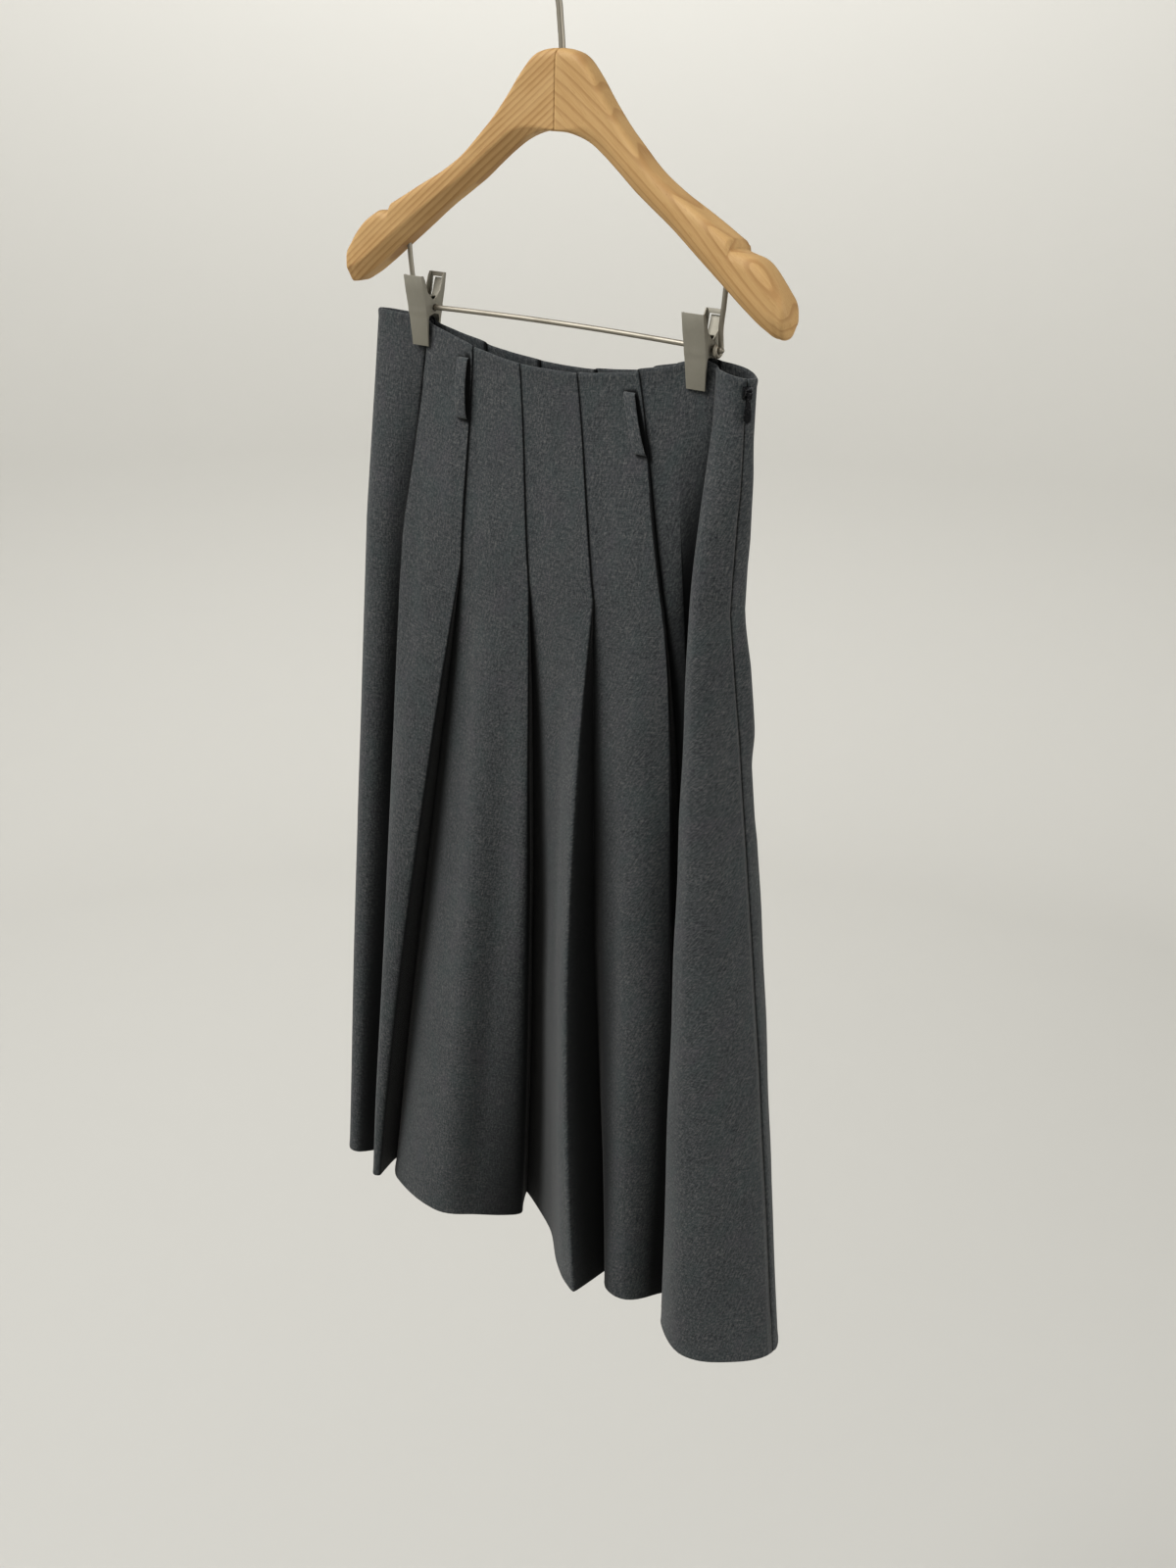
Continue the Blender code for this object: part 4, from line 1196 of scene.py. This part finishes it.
@dataclass(frozen=True)
class BeltLoop:
    """A turned strip of suiting, sewn down at its ends and standing off between them. It lays painted
    shade on the cloth under and beside it.
    """

    name: str
    facing: Facing
    top_x: float
    bottom_x: float
    width: float = 0.0096
    cloth: float = 0.0013
    stand: float = 0.0036
    below: float = 0.0100
    length: float = 0.045
    sag_share: float = 0.62
    sewn_lift: float = 0.0004
    dish: float = 0.00025
    end_round: float = 0.0009
    end_fold: float = 0.35
    end_fold_length: float = 0.004
    end_thickness: float = 0.15
    end_width: float = 0.97
    # These five set the loop's painted shade: its strength, its soft edge beside the strip, and how far
    # past the ends it runs and fades.
    shade_strength: float = 0.65
    shade_edge: float = 0.0022
    shade_above: float = 0.035
    shade_below: float = 0.055
    shade_end: float = 0.03

    def top(self, skirt: PleatedCloth) -> float:
        """Height of its upper end."""
        sag = skirt.front_sag if self.facing is Facing.FRONT else skirt.back_sag
        return BAR_Z - skirt.edge_below_bar - sag * self.sag_share - self.below

    def painted_shade_share(self, skirt: PleatedCloth, x: np.ndarray, heights: np.ndarray) -> np.ndarray:
        """Painted shade that the loop lays on the cloth under and beside it, as the part of the cloth's
        open share that it takes away.

        Args:
            skirt: The cloth.
            x: Places on it.
            heights: Their heights.

        Returns:
            Shares from 0 to 1.
        """
        part = (self.top(skirt) - heights) / self.length
        middle = self.top_x + (self.bottom_x - self.top_x) * part
        beside = 1 - smooth((abs(x - middle) - self.width * 0.5) / self.shade_edge)
        ends = (smooth((part + self.shade_above) / self.shade_end)
                * smooth((1 + self.shade_below - part) / self.shade_end))
        return self.shade_strength * beside * ends

    def build(self, skirt: PleatedCloth, finish: bpy.types.Material) -> bpy.types.Object:
        """Builds and dresses the loop.

        Args:
            skirt: The cloth that it is sewn to.
            finish: The suiting.

        Returns:
            The piece.
        """
        top = self.top(skirt)
        across, over = rounded(28, flat_across=0.35, flat_over=0.8)
        dished = self.dish * np.cos(across * np.pi / 2)
        rows, maps = [], []
        for part in np.linspace(0, 1, 46):
            middle = self.top_x + (self.bottom_x - self.top_x) * part
            base = skirt.outer_face(middle, top - self.length * part, self.facing, self.width)
            lift = self.sewn_lift + self.stand * math.sin(math.pi * part) ** 0.6
            edge = min(part, 1 - part) * self.length
            shut = math.sqrt(1 - (1 - min(edge / self.end_round, 1)) ** 2)
            folded = 1 + self.end_fold * math.exp(-(edge / self.end_fold_length) ** 2)
            thick = self.cloth * (self.end_thickness + (1 - self.end_thickness) * shut) * folded
            x = middle + across * self.width / 2 * (self.end_width + (1 - self.end_width) * shut)
            y = base + self.facing.value * (lift + thick / 2 + over * thick / 2 + dished)
            z = np.full(len(across), top - self.length * part)
            rows.append(np.column_stack((x, y, z)))
            maps.append(np.column_stack((across * self.width / 2, z)))
        made = loft(self.name, np.array(rows), np.array(maps))
        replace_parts(made, self.name.replace("_cloth", ""))
        return dress(made, finish)


LOOPS = (
    BeltLoop("belt_loop_front_left_cloth", Facing.FRONT, top_x=-0.0785, bottom_x=-0.0780),
    BeltLoop("belt_loop_front_right_cloth", Facing.FRONT, top_x=0.0720, bottom_x=0.0850,
             below=0.0150, length=0.042, stand=0.0026),
    BeltLoop("belt_loop_back_left_cloth", Facing.BACK, top_x=-0.0735, bottom_x=-0.0755),
    BeltLoop("belt_loop_back_right_cloth", Facing.BACK, top_x=0.0770, bottom_x=0.0785),
)


@dataclass(frozen=True)
class SideZip:
    """The concealed zip in the right side seam: tape, coil, slider and hanging pull."""

    length: float = 0.170
    starts_below: float = 0.005
    half_tape: float = 0.009
    tape_half_thick: float = 0.0003
    tape_behind: float = 0.0020
    coil_below: float = 0.014
    coil_shorter: float = 0.016
    coil_behind: float = 0.0034
    tooth_pitch: float = 0.0012
    tooth_off_middle: float = 0.0006
    tooth_size: tuple = (0.0019, 0.0008, 0.00042)
    slider_bevel: float = 0.00025
    pull_bevel: float = 0.0003

    def top(self, skirt: PleatedCloth) -> float:
        """Height of the waist's edge at the seam."""
        return float(skirt.edge_height(np.array(SEAM_RIGHT_X), Facing.FRONT))

    def build(self, skirt: PleatedCloth, tape: bpy.types.Material,
              enamel: bpy.types.Material) -> list[bpy.types.Object]:
        """Builds and dresses the zip's pieces.

        Args:
            skirt: The cloth whose seam it closes.
            tape: The tape's weave.
            enamel: The slider's finish.

        Returns:
            The pieces that lie on the cloth.
        """
        slider = refined("zip_slider", "zip_slider_body", self.slider_bevel)
        dress(slider, enamel)
        pull = refined("zip_pull", "zip_pull_tab", self.pull_bevel)
        dress(pull, enamel, SWINGS)
        woven = self.tapes(skirt)
        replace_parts(woven, "zip_tape")
        dress(woven, tape)
        coil = dress(self.coil(skirt), enamel)
        return [woven, coil, slider]

    def seam(self, skirt: PleatedCloth, height: float) -> tuple[np.ndarray, np.ndarray, np.ndarray]:
        """The seam's line inside the cloth at a height.

        Args:
            skirt: The cloth.
            height: The height.

        Returns:
            The place, the way out of the cloth and the way along it.
        """
        top = self.top(skirt)
        points, normals, _, numbers = skirt.ring((top - height) / (top - HEM_Z))
        column = int(np.argmin(abs(numbers - FOLD_NAMES.index("side_right"))))
        outward = np.array((*normals[column], 0))
        along = np.array((-outward[1], outward[0], 0))
        return np.array((*points[column], height)), outward, along

    def tapes(self, skirt: PleatedCloth) -> bpy.types.Object:
        """The two tapes as one strip with its edges rounded.

        Args:
            skirt: The cloth that they are sewn to.

        Returns:
            The strip.
        """
        top = self.top(skirt)
        across, over = rounded(22, flat_across=0.5, flat_over=0.6)
        rows = []
        for below in np.linspace(self.starts_below, self.starts_below + self.length, 44):
            points, normals, _, numbers = skirt.ring(below / (top - HEM_Z))
            runs = np.linalg.norm(np.diff(points, axis=0), axis=1)
            along = np.concatenate(([0], np.cumsum(runs)))
            middle = np.interp(FOLD_NAMES.index("side_right"), numbers, along)
            spots = middle + across * self.half_tape
            place, out = (np.stack([np.interp(spots, along, of[:, axis]) for axis in (0, 1)], 1)
                          for of in (points, normals))
            out /= np.linalg.norm(out, axis=1)[:, None]
            place = place - out * (self.tape_behind - over * self.tape_half_thick)[:, None]
            rows.append(np.column_stack((place, np.full(len(across), top - below))))
        return loft("zip_tape_woven", np.array(rows))

    def coil(self, skirt: PleatedCloth) -> bpy.types.Object:
        """The coil's teeth as one joined mesh, inside the tape.

        Args:
            skirt: The cloth whose seam they close.

        Returns:
            The teeth.
        """
        top = self.top(skirt) - self.coil_below
        work = bmesh.new()
        size = Matrix.Diagonal((*self.tooth_size, 1))
        for tooth in range(int((self.length - self.coil_shorter) / self.tooth_pitch)):
            height = top - tooth * self.tooth_pitch
            place, outward, along = self.seam(skirt, height)
            aside = along * self.tooth_off_middle * (-1) ** tooth
            middle = place - outward * self.coil_behind + aside
            turn = Matrix((along, outward, (0, 0, 1))).transposed().to_4x4()
            made = bmesh.ops.create_icosphere(work, subdivisions=1, radius=1)
            bmesh.ops.transform(work, verts=made["verts"],
                                matrix=Matrix.Translation(middle) @ turn @ size)
        bmesh.ops.recalc_face_normals(work, faces=work.faces)
        return in_scene("zip_coil_teeth", work)


# ---- hanger


class ArmStation(NamedTuple):
    """A cut across the arm, with heights above the clip bar."""

    x: float
    lower: float
    upper: float
    thick: float


GRAINS = {
    Side.LEFT: WoodFinish("pale_wood_left", slope_degrees=37, climb=0.02, bend=0.0, arch=6,
                          spacing=0.0038, late_share=0.60, wander=0.0010),
    Side.RIGHT: WoodFinish("pale_wood_right", slope_degrees=-40, climb=0.27, bend=0.55, arch=40,
                           spacing=0.0070, late_share=0.36, wander=0.0034, strength=0.44),
}
ARM_STATIONS = tuple(ArmStation(*row) for row in (
    (0.00015, 0.1315, 0.1842, 0.016),
    (0.01, 0.1312, 0.1832, 0.016),
    (0.02, 0.1285, 0.1795, 0.0165),
    (0.03, 0.1235, 0.169, 0.0172),
    (0.04, 0.1165, 0.1555, 0.018),
    (0.053, 0.1065, 0.1395, 0.019),
    (0.066, 0.0962, 0.126, 0.0205),
    (0.08, 0.0865, 0.1125, 0.0215),
    (0.097, 0.075, 0.1005, 0.0225),
    (0.12, 0.0575, 0.0875, 0.0245),
    (0.143, 0.04, 0.0745, 0.026),
    (0.16, 0.027, 0.0655, 0.0268),
    (0.175, 0.0165, 0.0548, 0.0258),
    (0.185, 0.0115, 0.0432, 0.0232),
    (0.1915, 0.0125, 0.0335, 0.019),
    (0.1945, 0.0175, 0.026, 0.01),
))


@dataclass(frozen=True)
class WoodenArm:
    """One arm of the hanger, glued to the other at the mitre."""

    side: Side
    forward: float = 0.0035
    lifted: float = 0.0026
    glue_line: float = 0.006
    glue_round: float = 0.0007
    notch_x: float = 0.1530
    notch_depth: float = 0.0046
    notch_slant: float = 0.10
    notch_before: float = 0.0050
    notch_steep: float = 0.0009
    notch_easy_before: float = 0.0030
    notch_run: float = 0.0110
    notch_from: float = 0.50
    notch_fade: float = 0.4
    chamfer_deep: float = 0.0046
    chamfer_high: float = 0.0110
    chamfer_least: float = 0.0012
    chamfer_most_across: float = 0.72
    chamfer_most_up: float = 0.36
    chamfer_from: float = 0.004
    chamfer_fade: float = 0.040
    chamfer_edge: float = 0.0016
    shoulder: float = 0.0068
    rounder: float = 0.0008
    rounder_from: float = 0.13
    rounder_fade: float = 0.03
    corner_room: float = 0.46
    corner_steps: int = 9
    flat_steps: int = 9
    fine_from: float = 0.1508
    fine_to: float = 0.168
    end_round: float = 0.0045

    def build(self, finish: bpy.types.Material) -> bpy.types.Object:
        """Lofts and dresses the arm.

        Args:
            finish: The wood.

        Returns:
            The piece.
        """
        name = self.side.name.lower()
        column = [np.array(values) for values in zip(*ARM_STATIONS)]
        x = self.places()
        lower, upper, thick = (through(column[0], column[k], x) for k in (1, 2, 3))
        glue = np.clip((x - x[0]) / self.glue_round, 0, 1)
        shut = 1 - self.glue_line + self.glue_line * np.sqrt(1 - (1 - glue) ** 2)
        across, rise = self.section(x, thick * shut / 2, (upper - lower) * shut)
        share = rise / (upper - lower)[:, None]
        cut = self.notch(x[:, None] - self.notch_slant * across)
        cut = cut * smooth((share - self.notch_from) / self.notch_fade)
        bend = (x[:, None] / x[-1]) ** 2
        z = BAR_Z + lower[:, None] + rise - cut + self.lifted * bend
        rows = np.stack((np.repeat(self.side.value * x[:, None], z.shape[1], 1),
                         across - self.forward * bend, z), axis=2)
        made = loft(f"wooden_arm_{name}", rows)
        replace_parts(made, f"hanger_arm_{name}")
        return dress(made, finish)

    def places(self) -> np.ndarray:
        """Places along the arm, closer together at the strap notch and towards the rounded end.

        Returns:
            Distances from the middle of the hanger.
        """
        glued, end = ARM_STATIONS[0].x, ARM_STATIONS[-1].x
        return np.concatenate((
            np.linspace(glued, self.fine_from - 0.0008, 110),
            np.linspace(self.fine_from, self.fine_to, 44),
            np.linspace(self.fine_to + 0.0015, end - self.end_round, 26),
            end - self.end_round * np.linspace(0.93, 0, 14) ** 2))

    def section(self, x: np.ndarray, half: np.ndarray,
                high: np.ndarray) -> tuple[np.ndarray, np.ndarray]:
        """Flat faces, a chamfered underside and round shoulders, at every station.

        Args:
            x: Places along the arm.
            half: Half its thickness there.
            high: Its height there.

        Returns:
            Places across the arm and heights over its lower edge, one row for each station.
        """
        fade = smooth((x - self.chamfer_from) / self.chamfer_fade)
        deep = np.minimum(self.chamfer_deep * fade, half * self.chamfer_most_across) + self.chamfer_least
        tall = np.minimum(self.chamfer_high * fade, high * self.chamfer_most_up) + self.chamfer_least
        side = [(half - deep, 0 * x), (half, tall), (half, high)]
        corners = np.array([*side, *[(-a, b) for a, b in reversed(side)]]).transpose(2, 0, 1)
        edges = np.roll(corners, -1, 1) - corners
        longest = np.linalg.norm(edges, axis=2)
        room = np.minimum(longest, np.roll(longest, 1, 1)) * self.corner_room
        more = self.rounder * smooth((x - self.rounder_from) / self.rounder_fade)
        wanted = np.full(longest.shape, self.chamfer_edge)
        wanted[:, 2:4] = (self.shoulder + more)[:, None]
        reach = np.minimum(room, wanted)[:, :, None]
        ahead = edges / longest[:, :, None]
        back = -np.roll(ahead, 1, 1)
        first, last = corners + back * reach, corners + ahead * reach
        bends = [first * (1 - u) ** 2 + corners * 2 * u * (1 - u) + last * u**2
                 for u in np.linspace(0, 1, self.corner_steps)]
        flats = [last + (np.roll(first, -1, 1) - last) * u
                 for u in np.linspace(0.08, 0.92, self.flat_steps)]
        ring = np.stack(bends + flats, axis=2).reshape(len(x), -1, 2)
        return ring[:, :, 0], ring[:, :, 1]

    def notch(self, x: np.ndarray) -> np.ndarray:
        """How deep the strap notch is: steep on its upper side and easy on its lower one.

        Args:
            x: Places along the arm.

        Returns:
            Depths there.
        """
        steep = smooth((x - (self.notch_x - self.notch_before)) / self.notch_steep)
        easy = 1 - smooth((x - self.notch_x + self.notch_easy_before) / self.notch_run)
        return self.notch_depth * steep * easy


ARMS = {
    Side.LEFT: WoodenArm(Side.LEFT),
    Side.RIGHT: WoodenArm(Side.RIGHT, notch_slant=0.16, notch_run=0.0190, chamfer_edge=0.0048,
                          rounder=0.0042),
}


class DropStation(NamedTuple):
    """A point of a drop wire, with the share of its lean and its height above the clip bar."""

    leant: float
    y: float
    height: float


DROP_STATIONS = (
    DropStation(0, 0, 0.058),
    DropStation(0.45, 0.0004, 0.030),
    DropStation(0.88, 0.0016, 0.012),
)


@dataclass(frozen=True)
class HangerMetal:
    """The hook with its stem, the two drop wires and the clip bar."""

    hook_bend: float = 0.0240
    hook_radius: float = 0.0023
    hook_lean: float = 0.0034
    hook_start_degrees: float = -50
    hook_end_degrees: float = 200
    stem_sunk: float = 0.030
    stem_below_bend: float = 0.009
    stem_straight_below: float = 0.012
    stem_straight_lean: float = 0.76
    wire_radius: float = 0.0018
    wire_gap: float = 0.0003
    wire_beside_bar: float = 0.86
    wire_bends_above: float = 0.0050
    wire_turn_degrees: tuple = (180, 400)
    bar_radius: float = 0.0019
    bar_bow: float = 0.0025
    bar_end: float = 0.1352
    bar_past_wire: float = 0.0030

    def build(self, finish: bpy.types.Material) -> list[bpy.types.Object]:
        """Builds and dresses the wire pieces."""
        made = [self.hook(), self.bar(), *(self.wire(side) for side in Side)]
        return [dress(piece, finish) for piece in made]

    def hook(self) -> bpy.types.Object:
        """A stem that rises from the mitre, leans, and bends round a rail.

        Returns:
            The piece.
        """
        centre = -(self.hook_bend - self.hook_radius)
        start = math.radians(self.hook_start_degrees)
        reach = self.hook_bend * math.cos(start)
        high = centre + self.hook_bend * math.sin(start)
        low = centre - self.hook_bend - self.stem_below_bend
        wood_top = BAR_Z + ARM_STATIONS[0].upper
        path = [(0, 0, wood_top - self.stem_sunk), (0, 0, wood_top),
                (-self.hook_lean * self.stem_straight_lean, 0, low - self.stem_straight_below)]
        for t in np.linspace(0, 1, 7):
            swing = smooth(t)
            path.append((reach * swing - self.hook_lean * (1 - swing), 0, low + (high - low) * t))
        bends = np.linspace(self.hook_start_degrees, self.hook_end_degrees, 23)[1:]
        for angle in np.radians(bends):
            path.append((self.hook_bend * math.cos(angle), 0,
                         centre + self.hook_bend * math.sin(angle)))
        made = rod("hook_and_stem", path, self.hook_radius, 24)
        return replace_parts(made, "hanger_hook")

    def wire(self, side: Side) -> bpy.types.Object:
        """A wire that drops out of the arm, leans in and turns under the end of the bar.

        Args:
            side: Which end of the bar it holds.

        Returns:
            The piece.
        """
        x, low = side.value * HANGER_HALF, side.value * self.bar_end
        turn = self.bar_radius + self.wire_radius + self.wire_gap
        path = [(x + (low - x) * row.leant, row.y, BAR_Z + row.height) for row in DROP_STATIONS]
        path.append((low, turn * self.wire_beside_bar, BAR_Z + self.wire_bends_above))
        for angle in np.radians(np.linspace(*self.wire_turn_degrees, 12)):
            path.append((low, -turn * math.cos(angle), BAR_Z + turn * math.sin(angle)))
        made = rod(f"drop_wire_{side.name.lower()}", path, self.wire_radius, step=0.0007)
        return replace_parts(made, f"bar_wire_{side.name.lower()}")

    def bar(self) -> bpy.types.Object:
        """The bar, bowed up a little between its ends.

        Returns:
            The piece.
        """
        places = np.linspace(-1, 1, 15) * (self.bar_end + self.bar_past_wire)
        path = [(x, 0, BAR_Z + self.bar_bow * (1 - (x / HANGER_HALF) ** 2)) for x in places]
        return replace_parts(rod("clip_bar_wire", path, self.bar_radius, step=0.004), "clip_bar")


@dataclass(frozen=True)
class Clip:
    """Two pressed plates with ears round the bar, and a leaf spring between them."""

    side: Side
    plate_bevel: float = 0.00022
    leaf_bevel: float = 0.00012

    def build(self, finish: bpy.types.Material) -> list[bpy.types.Object]:
        """Rounds the edges of the clip's plates and dresses them.

        Args:
            finish: The clips' metal.

        Returns:
            The pieces.
        """
        name = self.side.name.lower()
        made = [refined(f"clip_{name}_{part}", f"clip_{name}_{part}_plate", self.plate_bevel)
                for part in ("front", "back")]
        made.append(refined(f"clip_{name}_spring", f"clip_{name}_leaf", self.leaf_bevel))
        return [dress(piece, finish) for piece in made]


# ---- studio


class Lamp(NamedTuple):
    """A square soft light that points at a place."""

    name: str
    place: tuple
    aim: tuple
    size: float
    power: float
    colour: tuple


LAMPS = (
    Lamp("key", (-2.1, -2.6, 3.1), (0, 0, -0.6), 2.6, 235, (1.0, 0.995, 0.985)),
    Lamp("fill", (3.3, 0.1, 0.6), (0, 0, -0.6), 1.8, 50, (1.0, 0.99, 0.975)),
    Lamp("backdrop", (-1.6, 2.0, 1.9), (-2.6, 3.6, -0.2), 1.5, 64, (1.0, 0.985, 0.965)),
)


@dataclass(frozen=True)
class Studio:
    """Plain floor, soft lights and the camera."""

    azimuth: float = 35.3
    pitch: float = 23.9
    roll: float = 1.5
    lens: float = 40.5
    nearest: float = 0.05
    eye: tuple = (0.76786, -1.03197, -0.06233)
    floor_z: float = -2.4
    bowl_radius: float = 4.4
    bowl_bend: float = 1.0
    bowl_top: float = 0.5
    air_colour: tuple = (238, 238, 234)
    air_strength: float = 0.33

    def build(self, floor_finish: bpy.types.Material) -> None:
        """Makes the floor, the lights and the camera.

        Args:
            floor_finish: The floor's material.
        """
        floor = self.bowl()
        floor.data.materials.append(floor_finish)
        self.sky()
        for lamp in LAMPS:
            self.softbox(lamp)
        self.camera()

    def bowl(self) -> bpy.types.Object:
        """A round floor that curves up into a wall all round.

        Returns:
            The floor.
        """
        work = bmesh.new()
        inner, bent_z = self.bowl_radius - self.bowl_bend, self.floor_z + self.bowl_bend
        profile = [(0, self.floor_z)]
        profile += [(inner + self.bowl_bend * math.sin(a), bent_z - self.bowl_bend * math.cos(a))
                    for a in np.radians(np.linspace(0, 90, 13))]
        profile.append((self.bowl_radius, self.bowl_top))
        line = [work.verts.new((x, 0, z)) for x, z in profile]
        edges = [work.edges.new(pair) for pair in zip(line, line[1:])]
        bmesh.ops.spin(work, geom=line + edges, cent=(0, 0, 0), axis=(0, 0, 1), steps=96,
                       angle=math.tau, use_merge=True)
        bmesh.ops.remove_doubles(work, verts=work.verts, dist=1e-5)
        bmesh.ops.recalc_face_normals(work, faces=work.faces)
        return in_scene("studio_floor", work)

    def sky(self) -> None:
        """Even light from all round."""
        world = bpy.data.worlds.new("studio_air")
        world.use_nodes = True
        air = world.node_tree.nodes["Background"]
        air.inputs["Color"].default_value = shade(*self.air_colour)
        air.inputs["Strength"].default_value = self.air_strength
        bpy.context.scene.world = world

    def softbox(self, lamp: Lamp) -> None:
        """Hangs one lamp and turns it to its aim.

        Args:
            lamp: Its place, aim, size, power and colour.
        """
        light = bpy.data.lights.new(lamp.name, "AREA")
        light.size = lamp.size
        light.energy = lamp.power
        light.color = lamp.colour
        hung = bpy.data.objects.new(lamp.name, light)
        hung.location = lamp.place
        heading = Vector(lamp.aim) - Vector(lamp.place)
        hung.rotation_euler = heading.to_track_quat("-Z", "Y").to_euler()
        bpy.context.scene.collection.objects.link(hung)

    def camera(self) -> None:
        """The camera at its viewing angle, with a small roll."""
        data = bpy.data.cameras.new("camera")
        data.lens = self.lens
        data.clip_start = self.nearest
        camera = bpy.data.objects.new("camera", data)
        stance = Matrix.Translation(self.eye)
        for angle, axis in ((self.azimuth, "Z"), (90 - self.pitch, "X"), (self.roll, "Z")):
            stance = stance @ Matrix.Rotation(math.radians(angle), 4, axis)
        camera.matrix_world = stance
        bpy.context.scene.collection.objects.link(camera)
        bpy.context.scene.camera = camera


# ---- assembly


def main() -> None:
    """Builds the pieces in order and reports each."""
    logging.basicConfig(level=logging.INFO, format="%(name)s %(message)s")
    bpy.context.scene.view_settings.view_transform = "Standard"
    bpy.context.scene.view_settings.look = "Medium High Contrast"
    for thing in [o for o in bpy.data.objects if o.type in {"LIGHT", "CAMERA"} or o.name == "Cube"]:
        bpy.data.objects.remove(thing)
    Studio().build(FloorFinish().material())
    suiting = SuitingFinish().material()
    enamel = EnamelFinish().material()
    cloth = PleatedCloth()
    # Painted light: the belt loops' suiting is a lighter copy of the skirt's, for the light that the
    # standing, rounded strips catch. It carries none of the painted fold shade.
    strip = SuitingFinish("suiting_strip", dark=(38, 41, 44), middle=(72, 75, 77),
                          light=(110, 110, 109), folded=False).material()
    strips = [loop.build(cloth, strip) for loop in LOOPS]
    zip_pieces = SideZip().build(cloth, TapeFinish().material(), enamel)
    for facing, cut, with_pieces in (
        (Facing.FRONT, (0.86, 0.79), strips[:2]),
        (Facing.BACK, (0.86, 0.79), strips[2:] + zip_pieces),
    ):
        name = facing.name.lower()
        shell, area = cloth.shell(f"skirt_{name}_shell", facing,
                                  [loop for loop in LOOPS if loop.facing is facing])
        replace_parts(shell, f"skirt_{name}")
        dress(shell, suiting)
        log.info("%s outer area %.4f m2", name, area)
    HangerMetal().build(MetalFinish(brush=(900, 900, 900)).material())
    for side in Side:
        ARMS[side].build(GRAINS[side].material())
        plate = MetalFinish("satin_plate", colour=(162, 159, 149), worn=(144, 140, 130), rough=0.62)
        Clip(side).build(plate.material())


if __name__ == "__main__":
    main()
